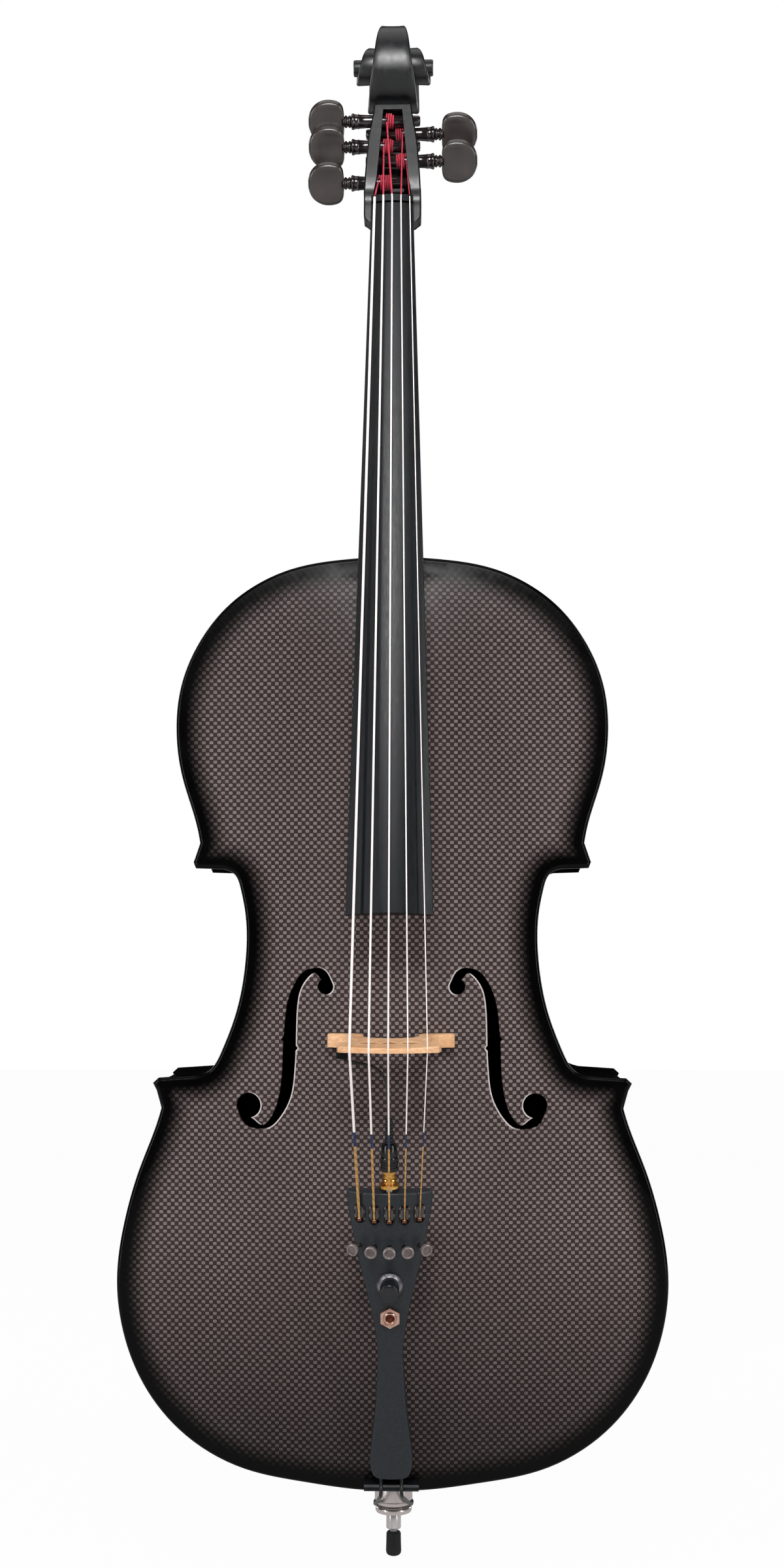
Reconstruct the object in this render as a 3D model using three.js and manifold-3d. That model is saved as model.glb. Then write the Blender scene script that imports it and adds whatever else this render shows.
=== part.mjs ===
// A five-string electric cello standing on its endpin.
// Millimetres. +Z runs up to the scroll, -Y is the front with the strings, X = 0 is the middle.
// The origin is the underside of the rubber endpin tip, and Y = 0 is halfway through the ribs.
import * as THREE from 'three';
import { mergeVertices } from 'three/addons/utils/BufferGeometryUtils.js';
import Module from 'manifold-3d';

const wasm = await Module();
wasm.setup();

// Clearances shared by all pieces
const seat = 0.3; // between two pieces that rest on each other
const running = 0.35; // round a shaft that turns or slides
const overrun = 6; // how far a cutter passes the face it cuts
const weld = 0.0002; // vertices closer than this are one

// Body
const body = {
  bottom: 71.5,
  length: 755,
  upperBout: 350,
  waist: 236,
  lowerBout: 447,
  ribDepth: 120,
  rib: 2.5,
  overhang: 3.5,
  plate: 4.5,
  arch: 22,
  border: 12,
};
const outlineSteps = 2; // rows between two outline points
const coreSpacing = 12; // least distance between points of the inner loops
const crossShares = [-1, -0.55, 0, 0.55, 1];
const archPower = 0.5; // how soon the long arch reaches its height

// Outline of the right half: shares of the half bout, shares of the body length
const lowerBoutShares = [
  [0.107, 0], [0.318, 0.008], [0.535, 0.0217], [0.774, 0.0637], [0.917, 0.1197], [0.983, 0.1758],
  [1, 0.2245], [0.972, 0.2878], [0.918, 0.3438], [0.847, 0.3999], [0.8376, 0.4097],
];
const lowerCornerShares = [[0.855, 0.4285], [0.8685, 0.4364], [0.848, 0.4419]];
const waistShares = [
  [1.345, 0.4446], [1.26, 0.4495], [1.173, 0.4699], [1.072, 0.5119], [1.007, 0.5679],
  [1.006, 0.6159], [1.04, 0.645], [1.086, 0.661], [1.162, 0.666],
];
const upperCornerShares = [[0.909, 0.6669], [0.9206, 0.6735], [0.914, 0.6775]];
const upperBoutShares = [
  [0.8897, 0.694], [0.9006, 0.7079], [0.9714, 0.7639], [1, 0.82], [0.9789, 0.862],
  [0.8714, 0.9181], [0.7731, 0.9461], [0.6103, 0.974], [0.4686, 0.9881], [0.137, 1],
];
// The inner chord that cuts each corner off: a low and a high point
const lowerChordShares = [[0.881, 0.3719], [1.173, 0.4699]];
const upperChordShares = [[1.027, 0.638], [0.9006, 0.7079]];

// F-holes: places from the hole's centre, outward and up, as shares of its length
const fHole = { length: 129, out: 85, height: 358.5, depth: 60 };
const fOuterEdgeShares = [
  [-0.295, 0.395], [-0.253, 0.475], [-0.187, 0.499], [-0.089, 0.457], [-0.01, 0.299],
  [0.018, 0.078], [0.031, -0.205], [0.069, -0.385], [0.14, -0.482], [0.202, -0.45],
];
const fInnerEdgeShares = [
  [0.313, -0.38], [0.26, -0.481], [0.155, -0.507], [0.063, -0.463], [-0.028, -0.307],
  [-0.056, -0.081], [-0.066, 0.239], [-0.096, 0.381], [-0.171, 0.468], [-0.221, 0.426],
];
const fEyes = [
  { outShare: -0.248, upShare: 0.384, radius: 6.3 },
  { outShare: 0.238, upShare: -0.361, radius: 9.8 },
];
const fNick = { reach: 1.6, size: 3, outerUpShare: 0.052, innerUpShare: -0.001 };
const fEdgeSteps = 2;

// Neck frame: its origin is on the glue plane under the nut
const neck = {
  nutHeight: 1118.5,
  nutSetback: -41.5,
  tilt: 8.9,
  depthAtNut: 21,
  depthAtHeel: 25,
  mortise: 7.5,
  side: 0.8,
};
const heelCurveShares = [[0, 1], [0.03, 0.95], [0.06, 0.76], [0.1, 0.44], [0.15, 0.18], [0.22, 0.05], [0.32, 0]];
const neckBackFullness = 0.8;
const neckBackSteps = 10;
const heelBackShare = 0.62; // width of the heel at its back

// Fingerboard and nut
const board = {
  length: 590,
  widthAtNut: 34.3,
  widthAtEnd: 68.3,
  edge: 5,
  radius: 64,
  flatWidthShare: 0.36,
  hollow: 4,
};
const boardArcSteps = 10;
const boardStations = 6;
const nut = { length: 5.6, aboveBoard: 2 };

// Strings, from the lowest (left) to the highest
const strings = {
  nutSpacing: 7.2,
  bridgeSpacing: 14.85,
  lift: 6.08,
  radii: [1.05, 0.85, 0.7, 0.55, 0.42],
  ballRadius: 1.9,
  ballLength: 3.4,
  sides: 6,
};

// Bridge
const bridge = {
  height: 437,
  span: 101.6,
  footWidth: 28.6,
  footHeight: 5,
  crownWidth: 77.4,
  crownRadius: 64,
  footThickness: 11,
  crownThickness: 3.8,
  footDepth: 83,
};
// Right half of the bridge outline above the feet: shares of the half crown width, shares of its rise
const bridgeFlankShares = [[0.98, 0.1], [0.83, 0.2], [0.8, 0.3], [0.68, 0.42], [0.7, 0.55], [0.98, 0.6], [1.04, 0.68], [1, 0.8]];
const bridgeArchShares = [[0.5, 0.06], [0.42, 0.2], [0.25, 0.3], [0, 0.33]];
const kidney = { outShare: 0.42, riseShare: 0.62, width: 15, height: 10 };
const heart = { riseShare: 0.62, width: 13, height: 14 };

// Tailpiece frame: its origin is on the middle of the front face at the bottom end
const tail = {
  height: 85,
  front: -82.5,
  tilt: 13.75,
  belowBridge: 115.57,
  flareLength: 119.31,
  shell: 3.4,
  wall: 1.7,
  radius: 52,
  depth: 13,
  backFlatShare: 0.6,
  cornerDrop: 1.7,
  cornerReach: 24.6,
  endWall: 8,
  endSlope: 5,
  solidLength: 40,
};
// Half width along the tailpiece: shares of its length, shares of the half width at the top
const tailFlareShare = 0.515;
const tailWidth = 67.2;
const tailShares = [
  [0, 0.28], [0.012, 0.43], [0.06, 0.507], [0.153, 0.452], [0.268, 0.363], [0.438, 0.301],
  [0.515, 0.336], [0.606, 0.449], [0.7, 0.61], [0.772, 0.741], [0.87, 0.88], [0.935, 0.967], [1, 1],
];
const tailArcSteps = 6;

// Fine tuners in the tailpiece; each drop is counted down from the tailpiece's top
const tuner = {
  spacing: 11.7,
  slotLowDrop: 26.3,
  slotHighDrop: 10.3,
  slotWidth: 8,
  screwDrop: 44.4,
  screwRadius: 1.6,
  standOff: 9.5,
  knobRadius: 4.9,
  knobThickness: 3.6,
  knobEdge: 0.8,
  pinDrop: 32,
  pinDepth: 12.9,
  pinRadius: 1.2,
  leverWidth: 6,
  armWidth: 3.6,
  armThickness: 2.4,
  armPast: 3.5,
  armInwardShare: 0.89,
  forkDrop: 20,
  forkThickness: 7,
  notchPlay: 0.65,
  forkAbove: 3.6,
  ballAbove: 2.2,
};

// Volume knob, pot and jack on the tailpiece
const volume = {
  drop: 75.2,
  bushRadius: 4.5,
  skirtRadius: 10.4,
  skirtHeight: 5,
  capRadius: 7.65,
  knobTop: 19,
  capEdge: 1,
  potRadius: 8,
  potDepth: 8,
  shaftRadius: 3,
  shaftTop: 15,
  lift: 0.6,
};
const jack = {
  drop: 102.4,
  boreRadius: 3.3,
  boreDepth: 11,
  bushRadius: 5.2,
  bushHeight: 4.6,
  nutAcross: 14.8,
  nutHeight: 3.2,
  bodyRadius: 7.2,
  bodyDepth: 9,
};

// Pickup, lead and plug
const pickup = { out: -36, belowCrown: 22, belowBridge: 5.8, width: 8.6, depth: 5, height: 5 };
const plug = {
  tilt: 12,
  depthShare: 0.54,
  seatRise: 2.5,
  flangeRadius: 8.1,
  flangeHeight: 3.6,
  bodyRadius: 5.8,
  bodyTop: 14,
  grooves: 2,
  groove: 0.7,
  barrelRadius: 6.9,
  barrelTop: 35.5,
  ribs: 3,
  rib: 0.6,
  reliefRadius: 3.5,
  reliefTop: 55.5,
  spigotRadius: 1.75,
  spigotLength: 8,
  socketRadius: 4,
  socketDepth: 12,
};
const lead = { radius: 1.1, sides: 8, steps: 2, startRight: 2, startBack: 0.6, startDrop: 0.9 };
// Places the lead passes, from the pickup to the plug: share of the way across,
// share of that width it bows back, share of the way down
const leadShares = [
  [0, 0, 0], [0.091, 0.053, 0.028], [0.25, 0.109, 0.053], [0.415, 0.145, 0.079],
  [0.635, 0.158, 0.125], [0.797, 0.142, 0.217], [0.909, 0.104, 0.357], [0.962, 0.062, 0.536],
  [0.971, 0.028, 0.727],
];

// Saddle and tail cord
const saddle = { width: 44, low: 74.2, high: 81.4, depth: 12, noseShare: 0.45 };
const tailCord = { spread: 8.2, radius: 1.5, sides: 8, bendSteps: 8, boreShare: 0.62, inTail: 22 };
// Where a strand passes below the body: right, front, up
const strandPlaces = [[8.6, -76, 70.6], [10.4, -58, 63.5], [13.4, -28, 51.8], [15, -13, 46.7]];

// Endpin
const endpin = {
  flangeRadius: 15.85,
  collarLow: 47.3,
  grooveLow: 42.9,
  grooveRadius: 13.6,
  nutLow: 36.8,
  nutRadius: 15.2,
  collarEdge: 2,
  plugRadius: 12,
  plugTaper: 1.5,
  nutEdge: 1.2,
  nutPlay: 0.75,
  rodRadius: 5,
  rodTop: 440,
  rodEdge: 1.5,
  ferruleRadius: 6.2,
  ferruleLow: 22.8,
  ferruleHigh: 36.3,
  neckRadius: 3.3,
  neckLow: 10,
  tipTop: 20.4,
  tipRadius: 6.45,
  tipEdge: 2.5,
};

// Inside the body
const inside = {
  postRadius: 5.5,
  postOut: 27,
  postBelow: 24,
  barOut: 25,
  barWidth: 10,
  barDepth: 20,
  barBelowTop: 123,
  barStart: 112,
  neckBlockWidth: 110,
  neckBlockHeight: 48,
  endBlockWidth: 100,
  endBlockHeight: 40,
  blockClear: 0.5,
};

// Pegbox and scroll, in the neck frame
const pegbox = {
  halfWidthAtChin: 23.5,
  front: -3,
  depthAtNut: 30,
  cavityLow: 8.5,
  cavityHigh: 84,
  mouthHalf: 16,
  mouthHigh: 24,
  cavityHalfLow: 13.1,
  cavityHalfHigh: 9.7,
  floorLow: 25.5,
  floorHigh: 24.5,
  topSlope: 0.3,
  top: 88,
};
// Height share of the pegbox, half width share, front share and back share of the depth
const pegboxShares = [
  [-0.15, 0.88, 0, 0.6], [-0.11, 0.99, 0, 0.78], [0, 1, 0, 0.95], [0.08, 1, 0, 0.98],
  [0.17, 0.99, -0.1, 1], [0.65, 0.86, -0.1, 1.06], [1, 0.66, -0.1, 1.03],
];
const throatShares = [
  [1, 0.66, 0.1, 1.03], [1.12, 0.6, 0.3, 1.17], [1.28, 0.55, 0.6, 1.37], [1.49, 0.51, 0.95, 1.5],
];
const volute = { back: 14, height: 131, eyeRadius: 6.6, eyeHalf: 33.3, chamfer: 1.6 };
// One entry each quarter turn, from the back over the top: outer radius and half width
const voluteRadii = [31, 31.8, 34.5, 38, 26, 16.6, 15.8, 14.4, 11, 6.8];
const voluteHalfWidths = [12, 8.8, 14.2, 21, 21, 19.8, 25.8, 30.6, 31, 31];
const voluteStepsPerQuarter = 3;
const voluteInnerShare = 0.8;

// Pegs, from the lowest up; side -1 is the left. High is a share of the pegbox's top, deep of its
// depth at the nut, and out, where the winding starts, of half its mouth
const pegShares = [
  { side: -1, high: 0.2955, deep: 0.35, string: 0, turns: 5, out: -0.694, step: 1 },
  { side: 1, high: 0.525, deep: 0.4167, string: 4, turns: 4, out: 0.6625, step: -1 },
  { side: -1, high: 0.6705, deep: 0.3933, string: 1, turns: 4, out: -0.475, step: 1 },
  { side: 1, high: 0.816, deep: 0.5, string: 3, turns: 3, out: 0.5, step: -1 },
  { side: -1, high: 0.8909, deep: 0.2, string: 2, turns: 3, out: -0.325, step: 1 },
];
const pegList = pegShares.map((peg) => ({
  ...peg,
  height: peg.high * pegbox.top,
  depth: peg.deep * pegbox.depthAtNut,
  start: peg.out * pegbox.mouthHalf,
}));
const pegs = {
  tilt: 35,
  play: 0.45,
  radiusAtHead: 5.2,
  radiusAtTip: 4.2,
  barrelRadius: 5.7,
  barrelEnd: 34.2,
  collarRadius: 6.4,
  collar: 1.6,
  neckRadius: 3.9,
  bead: 5.1,
  headStart: 40.5,
  headWidth: 29.5,
  headHeight: 35,
  headThickness: 11,
  dish: 2.8,
  tipOut: 1.5,
  sides: 10,
};
// Along the peg head: place, height, thickness and dish as shares
const headShares = [
  [0, 0.34, 0.5, 0], [0.03, 0.68, 0.72, 0.3], [0.14, 0.9, 0.95, 0.8], [0.36, 1, 1, 1], [0.6, 0.97, 1, 0.8],
  [0.8, 0.8, 0.98, 0.35], [0.93, 0.54, 0.8, 0], [1, 0.22, 0.4, 0],
];
// Across the peg head: place, share of the thickness, share of the dish
const headAcross = [[-1, 0, 0], [-0.86, 0.8, 0], [-0.5, 1, 0.7], [0, 1, 1], [0.5, 1, 0.7], [0.86, 0.8, 0], [1, 0, 0]];
const winding = { radius: 0.65, gap: 0.53, stepsPerTurn: 12, sides: 6 };

const ribHalf = body.ribDepth / 2;
const edgeFront = -ribHalf - body.plate;
const bodyTop = body.bottom + body.length;

// Materials
function finish(color, roughness, metalness = 0) {
  return new THREE.MeshStandardMaterial({ color, roughness, metalness });
}
const materials = {
  carbon: finish(0x4a4544, 0.25),
  gloss: finish(0x0b0b0d, 0.15),
  ebony: finish(0x1b1c20, 0.4),
  satin: finish(0x121214, 0.45),
  peg: finish(0x35302f, 0.35),
  maple: finish(0xb8763c, 0.5),
  spruce: finish(0xd8b98a, 0.7),
  steel: finish(0xc9ccd0, 0.25, 1),
  nickel: finish(0x8d8f94, 0.25, 1),
  darkNickel: finish(0x3c3d42, 0.3, 1),
  gold: finish(0xc79a3c, 0.3, 1),
  silk: finish(0xb3152d, 0.7),
  rubber: finish(0x0d0d0d, 0.85),
  tailpiece: finish(0x22252d, 0.5),
  plastic: finish(0x151518, 0.5),
};

// Solids and meshes

function outward(geometry) {
  const place = geometry.getAttribute('position');
  const a = new THREE.Vector3();
  const b = new THREE.Vector3();
  const c = new THREE.Vector3();
  const index = geometry.index.array;
  let volumeSum = 0;
  for (let i = 0; i < index.length; i += 3) {
    a.fromBufferAttribute(place, index[i]);
    b.fromBufferAttribute(place, index[i + 1]);
    c.fromBufferAttribute(place, index[i + 2]);
    volumeSum += a.dot(b.cross(c));
  }
  if (volumeSum < 0) {
    for (let i = 0; i < index.length; i += 3) {
      const kept = index[i];
      index[i] = index[i + 1];
      index[i + 1] = kept;
    }
  }
  return geometry;
}

function welded(geometry) {
  const bare = geometry.clone();
  bare.deleteAttribute('normal');
  bare.deleteAttribute('uv');
  return outward(mergeVertices(bare, weld));
}

function solid(geometry) {
  const merged = welded(geometry);
  return new wasm.Manifold(new wasm.Mesh({
    numProp: 3,
    vertProperties: merged.attributes.position.array,
    triVerts: new Uint32Array(merged.index.array),
  }));
}

function surface(manifold) {
  const made = manifold.getMesh();
  const stride = made.numProp;
  const place = new Float32Array(made.numVert * 3);
  for (let i = 0; i < made.numVert; i += 1) {
    place.set(made.vertProperties.subarray(i * stride, i * stride + 3), i * 3);
  }
  const geometry = new THREE.BufferGeometry();
  geometry.setAttribute('position', new THREE.BufferAttribute(place, 3));
  geometry.setIndex(new THREE.BufferAttribute(new Uint32Array(made.triVerts), 1));
  geometry.computeVertexNormals();
  return geometry;
}

function joined(geometries) {
  return surface(geometries.map(solid).reduce((whole, piece) => whole.add(piece)));
}

function cut(geometry, cutters) {
  return surface(cutters.map(solid).reduce((whole, piece) => whole.subtract(piece), solid(geometry)));
}

function piece(name, geometry, material) {
  const mesh = new THREE.Mesh(geometry, material);
  mesh.name = name;
  return mesh;
}

// A closed body from rings of equal length; each end is a fan round its middle
function loft(rings) {
  const count = rings[0].length;
  const points = rings.flat();
  const index = [];
  for (let r = 0; r + 1 < rings.length; r += 1) {
    for (let i = 0; i < count; i += 1) {
      const next = (i + 1) % count;
      const low = r * count;
      const high = low + count;
      index.push(low + i, low + next, high + next, low + i, high + next, high + i);
    }
  }
  [[0, 1], [rings.length - 1, 0]].forEach(([r, flip]) => {
    const middle = new THREE.Vector3();
    rings[r].forEach((point) => middle.add(point));
    middle.divideScalar(count);
    const centre = points.length;
    points.push(middle);
    for (let i = 0; i < count; i += 1) {
      const next = (i + 1) % count;
      const low = r * count;
      index.push(centre, low + (flip ? next : i), low + (flip ? i : next));
    }
  });
  const geometry = new THREE.BufferGeometry().setFromPoints(points);
  geometry.setIndex(index);
  return outward(geometry);
}

// A closed body between two sheets of rows and columns of points
function slab(front, back) {
  const rows = front.length;
  const columns = front[0].length;
  const points = [...front.flat(), ...back.flat()];
  const index = [];
  const at = (sheet, r, c) => sheet * rows * columns + r * columns + c;
  const quad = (a, b, c, d) => index.push(a, b, c, a, c, d);
  for (let r = 0; r + 1 < rows; r += 1) {
    for (let c = 0; c + 1 < columns; c += 1) {
      quad(at(0, r, c), at(0, r, c + 1), at(0, r + 1, c + 1), at(0, r + 1, c));
      quad(at(1, r, c), at(1, r + 1, c), at(1, r + 1, c + 1), at(1, r, c + 1));
    }
    quad(at(0, r, 0), at(0, r + 1, 0), at(1, r + 1, 0), at(1, r, 0));
    const last = columns - 1;
    quad(at(0, r, last), at(1, r, last), at(1, r + 1, last), at(0, r + 1, last));
  }
  for (let c = 0; c + 1 < columns; c += 1) {
    quad(at(0, 0, c), at(1, 0, c), at(1, 0, c + 1), at(0, 0, c + 1));
    const last = rows - 1;
    quad(at(0, last, c), at(0, last, c + 1), at(1, last, c + 1), at(1, last, c));
  }
  const geometry = new THREE.BufferGeometry().setFromPoints(points);
  geometry.setIndex(index);
  return outward(geometry);
}

// A route whose rings stand exactly at its points
class Route extends THREE.Curve {
  constructor(points) {
    super();
    this.points = points;
  }

  getPoint(t) {
    const place = t * (this.points.length - 1);
    const low = Math.min(Math.floor(place), this.points.length - 2);
    return this.points[low].clone().lerp(this.points[low + 1], place - low);
  }

  getUtoTmapping(u) {
    return u;
  }
}

function polygon(radius, sides) {
  const shape = new THREE.Shape();
  for (let i = 0; i < sides; i += 1) {
    const angle = (2 * Math.PI * (i + 0.5)) / sides;
    const move = i ? 'lineTo' : 'moveTo';
    shape[move](radius * Math.cos(angle), radius * Math.sin(angle));
  }
  return shape;
}

function tube(points, radius, sides) {
  return new THREE.ExtrudeGeometry(polygon(radius, sides), {
    steps: points.length - 1,
    extrudePath: new Route(points),
    bevelEnabled: false,
  });
}

// A turned body along +Z from pairs of radius and height
function turned(profile, sides) {
  const points = profile.map(([radius, height]) => new THREE.Vector2(radius, height));
  return new THREE.LatheGeometry(points, sides).rotateX(Math.PI / 2).rotateZ(Math.PI / sides);
}

function rod(radius, low, high, sides) {
  return turned([[0, low], [radius, low], [radius, high], [0, high]], sides);
}

function box(width, depth, height, x, y, z) {
  return new THREE.BoxGeometry(width, depth, height).translate(x, y, z);
}

function curveThrough(pairs, steps) {
  const spline = new THREE.SplineCurve(pairs.map(([x, y]) => new THREE.Vector2(x, y)));
  return spline.getPoints((pairs.length - 1) * steps);
}

function lerpTable(table, place) {
  const low = Math.max(0, Math.min(table.length - 2, Math.floor(place)));
  return THREE.MathUtils.lerp(table[low], table[low + 1], place - low);
}

function interpolate(pairs, at) {
  let i = 0;
  while (i < pairs.length - 2 && pairs[i + 1][0] < at) {
    i += 1;
  }
  const share = (at - pairs[i][0]) / (pairs[i + 1][0] - pairs[i][0]);
  return THREE.MathUtils.lerp(pairs[i][1], pairs[i + 1][1], THREE.MathUtils.clamp(share, 0, 1));
}

// Body outline

function scaled(shares, width, height) {
  return shares.map(([x, y]) => [x * width, y * height]);
}

const halfUpper = body.upperBout / 2;
const halfWaist = body.waist / 2;
const halfLower = body.lowerBout / 2;

function outlineRows() {
  const lower = curveThrough(scaled(lowerBoutShares, halfLower, body.length), outlineSteps);
  const lowerCorner = scaled(lowerCornerShares, halfLower, body.length).map(([x, y]) => new THREE.Vector2(x, y));
  const waist = curveThrough(scaled(waistShares, halfWaist, body.length), outlineSteps);
  const upperCorner = scaled(upperCornerShares, halfUpper, body.length).map(([x, y]) => new THREE.Vector2(x, y));
  const upper = curveThrough(scaled(upperBoutShares, halfUpper, body.length), outlineSteps);
  const chords = [
    [lowerChordShares, halfLower, halfWaist],
    [upperChordShares, halfWaist, halfUpper],
  ].map(([[low, high], lowHalf, highHalf]) => [
    [low[1] * body.length, low[0] * lowHalf],
    [high[1] * body.length, high[0] * highHalf],
  ]);
  return [...lower, ...lowerCorner, ...waist, ...upperCorner, ...upper].map((point) => {
    const inChord = chords.find(([low, high]) => point.y > low[0] && point.y < high[0]);
    const core = inChord ? Math.min(point.x, interpolate(inChord, point.y)) : point.x;
    return { z: body.bottom + point.y, half: point.x, core };
  });
}
const rows = outlineRows();

function loopOf(key, spacing = 0) {
  const right = [];
  rows.forEach((row, i) => {
    const point = new THREE.Vector2(row[key], row.z);
    const last = right[right.length - 1];
    if (!last || i === rows.length - 1 || point.distanceTo(last) > spacing) {
      right.push(point);
    }
  });
  const left = right.map((point) => new THREE.Vector2(-point.x, point.y)).reverse();
  return [...right, ...left];
}

function roomLoop(distance) {
  return inset(loopOf('core', coreSpacing), distance);
}

// Moves a loop that runs anticlockwise inwards by a distance
function inset(loop, distance) {
  return loop.map((point, i) => {
    const before = loop[(i + loop.length - 1) % loop.length];
    const after = loop[(i + 1) % loop.length];
    const one = new THREE.Vector2(before.y - point.y, point.x - before.x).normalize();
    const two = new THREE.Vector2(point.y - after.y, after.x - point.x).normalize();
    return point.clone().addScaledVector(one.add(two).normalize(), distance);
  });
}

// A loop in X and Z pushed through a depth along Y, with an optional hole
function through(loop, near, far, hole) {
  const shape = new THREE.Shape(loop);
  if (hole) {
    shape.holes.push(new THREE.Path(hole));
  }
  const geometry = new THREE.ExtrudeGeometry(shape, { depth: far - near, bevelEnabled: false });
  return geometry.rotateX(Math.PI / 2).translate(0, far, 0);
}

// Plates

function archHeight(crossShare, z) {
  const run = (z - body.bottom - body.border) / (body.length - 2 * body.border);
  const long = Math.sin(Math.PI * THREE.MathUtils.clamp(run, 0, 1)) ** archPower;
  const cross = (1 + Math.cos(Math.PI * Math.min(1, Math.abs(crossShare)))) / 2;
  return body.arch * long * cross;
}

function plateSheets(lift, thickness = body.plate) {
  const sheet = (offset) => rows.map(({ z, half, core }) => {
    const flat = core - Math.min(body.border, core / 2);
    const cross = crossShares.map((share) => new THREE.Vector3(
      share * flat,
      -ribHalf - offset - archHeight(share, z),
      z,
    ));
    return [
      new THREE.Vector3(-half, -ribHalf - offset, z),
      ...cross,
      new THREE.Vector3(half, -ribHalf - offset, z),
    ];
  });
  return slab(sheet(body.plate + lift), sheet(body.plate + lift - thickness));
}

function fHoleCutter(side) {
  const scale = ([out, up]) => [
    side * (fHole.out + out * fHole.length),
    body.bottom + fHole.height + up * fHole.length,
  ];
  const edge = [
    ...curveThrough(fOuterEdgeShares.map(scale), fEdgeSteps),
    ...curveThrough(fInnerEdgeShares.map(scale), fEdgeSteps),
  ];
  const near = edgeFront - body.arch - overrun;
  const cutters = [through(edge, near, near + fHole.depth)];
  fEyes.forEach(({ outShare, upShare, radius }) => {
    const [x, z] = scale([outShare, upShare]);
    const eye = rod(radius, 0, fHole.depth, 12).rotateX(-Math.PI / 2);
    cutters.push(eye.translate(x, near, z));
  });
  [[fNick.outerUpShare, fOuterEdgeShares], [fNick.innerUpShare, fInnerEdgeShares]].forEach(([up, table], i) => {
    const sorted = table.map(([out, height]) => [height, out]).sort((a, b) => a[0] - b[0]);
    const stem = sorted.filter(([, out]) => Math.abs(out) < 0.1);
    const [x, z] = scale([interpolate(stem, up), up]);
    const nick = new THREE.CylinderGeometry(fNick.size, fNick.size, fHole.depth, 4, 1);
    nick.scale(fNick.reach / fNick.size, 1, fNick.reach / fNick.size);
    cutters.push(nick.translate(x + side * (i ? -0.2 : 0.2) * fNick.reach, near + fHole.depth / 2, z));
  });
  return joined(cutters);
}

function topPlate() {
  return cut(plateSheets(0), [fHoleCutter(-1), fHoleCutter(1), neckFoot(seat)]);
}

function backPlate() {
  const plate = plateSheets(0).rotateZ(Math.PI);
  const button = rod(buttonRadius, 0, body.plate, 20).rotateX(-Math.PI / 2);
  return joined([plate, button.translate(0, ribHalf, bodyTop)]);
}

function ribGarland() {
  const outer = inset(loopOf('half'), body.overhang);
  const inner = roomLoop(body.overhang + body.rib);
  const ribs = through(outer, -ribHalf, ribHalf, inner);
  const bore = rod(endpin.plugRadius + seat, 0, body.bottom + body.border, 20);
  return cut(ribs, [neckFoot(seat), bore]);
}

function blockInside(width, low, high) {
  const room = roomLoop(body.overhang + body.rib + inside.blockClear);
  const near = -ribHalf + seat;
  const whole = solid(through(room, near, -near));
  const keep = box(width, body.ribDepth, high - low, 0, 0, (low + high) / 2);
  return surface(whole.intersect(solid(keep)));
}

function neckBlock() {
  const block = blockInside(inside.neckBlockWidth, bodyTop - inside.neckBlockHeight, bodyTop);
  return cut(block, [neckFoot(seat)]);
}

function endBlock() {
  const block = blockInside(inside.endBlockWidth, body.bottom, body.bottom + inside.endBlockHeight);
  const bore = rod(endpin.plugRadius + seat, 0, body.bottom + inside.endBlockHeight + overrun, 20);
  return cut(block, [bore]);
}

function soundPost() {
  const reach = ribHalf + body.arch + body.plate;
  const post = rod(inside.postRadius, -reach, reach, 12).rotateX(Math.PI / 2);
  post.translate(inside.postOut, 0, bridge.height - inside.postBelow);
  return between(post);
}

// What lies of a piece between the plates, clear of both
function between(geometry) {
  const room = roomLoop(body.overhang + body.rib);
  const shell = solid(through(room, -ribHalf, ribHalf));
  const front = solid(bulge()).add(shell).add(solid(bulge().rotateZ(Math.PI)));
  return surface(front.intersect(solid(geometry)));
}

// The room under one plate's arch
function bulge() {
  const top = rows.map(({ z, core }) => {
    const flat = core - Math.min(body.border, core / 2);
    return crossShares.map((share) => new THREE.Vector3(
      share * flat,
      -ribHalf + seat - archHeight(share, z),
      z,
    ));
  });
  const floor = top.map((line) => line.map((point) => new THREE.Vector3(point.x, 0, point.z)));
  return slab(top, floor);
}

// The hollow of the arch at a place, straight between the columns of the plate
function hollowAt(x, row) {
  const flat = row.core - Math.min(body.border, row.core / 2);
  const shares = crossShares.filter((share) => share >= 0);
  return interpolate(shares.map((share) => [share * flat, archHeight(share, row.z)]), Math.abs(x));
}

function bassBar() {
  const low = body.bottom + inside.barStart;
  const along = rows.filter(({ z }) => z > low && z < bodyTop - inside.barBelowTop);
  const edges = [-inside.barOut - inside.barWidth / 2, -inside.barOut + inside.barWidth / 2];
  return loft(along.filter((_, i) => i % 3 === 0).map((row) => {
    const front = edges.map((x) => -ribHalf - hollowAt(x, row) + 2 * seat);
    return [
      new THREE.Vector3(edges[0], front[0], row.z),
      new THREE.Vector3(edges[1], front[1], row.z),
      new THREE.Vector3(edges[1], front[1] + inside.barDepth, row.z),
      new THREE.Vector3(edges[0], front[1] + inside.barDepth, row.z),
    ];
  }));
}

// Neck

const neckFrame = new THREE.Group();
neckFrame.position.set(0, neck.nutSetback, neck.nutHeight);
neckFrame.rotation.x = -THREE.MathUtils.degToRad(neck.tilt);
neckFrame.updateMatrix();

function gluePlane(z) {
  return neck.nutSetback - (neck.nutHeight - z) * Math.tan(THREE.MathUtils.degToRad(neck.tilt));
}

function boardHalf(distance) {
  return THREE.MathUtils.lerp(board.widthAtNut, board.widthAtEnd, distance / board.length) / 2;
}

const neckLength = neck.nutHeight - bodyTop;
const heelDepth = ribHalf - seat - gluePlane(bodyTop);
const buttonRadius = 15.5;

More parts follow.
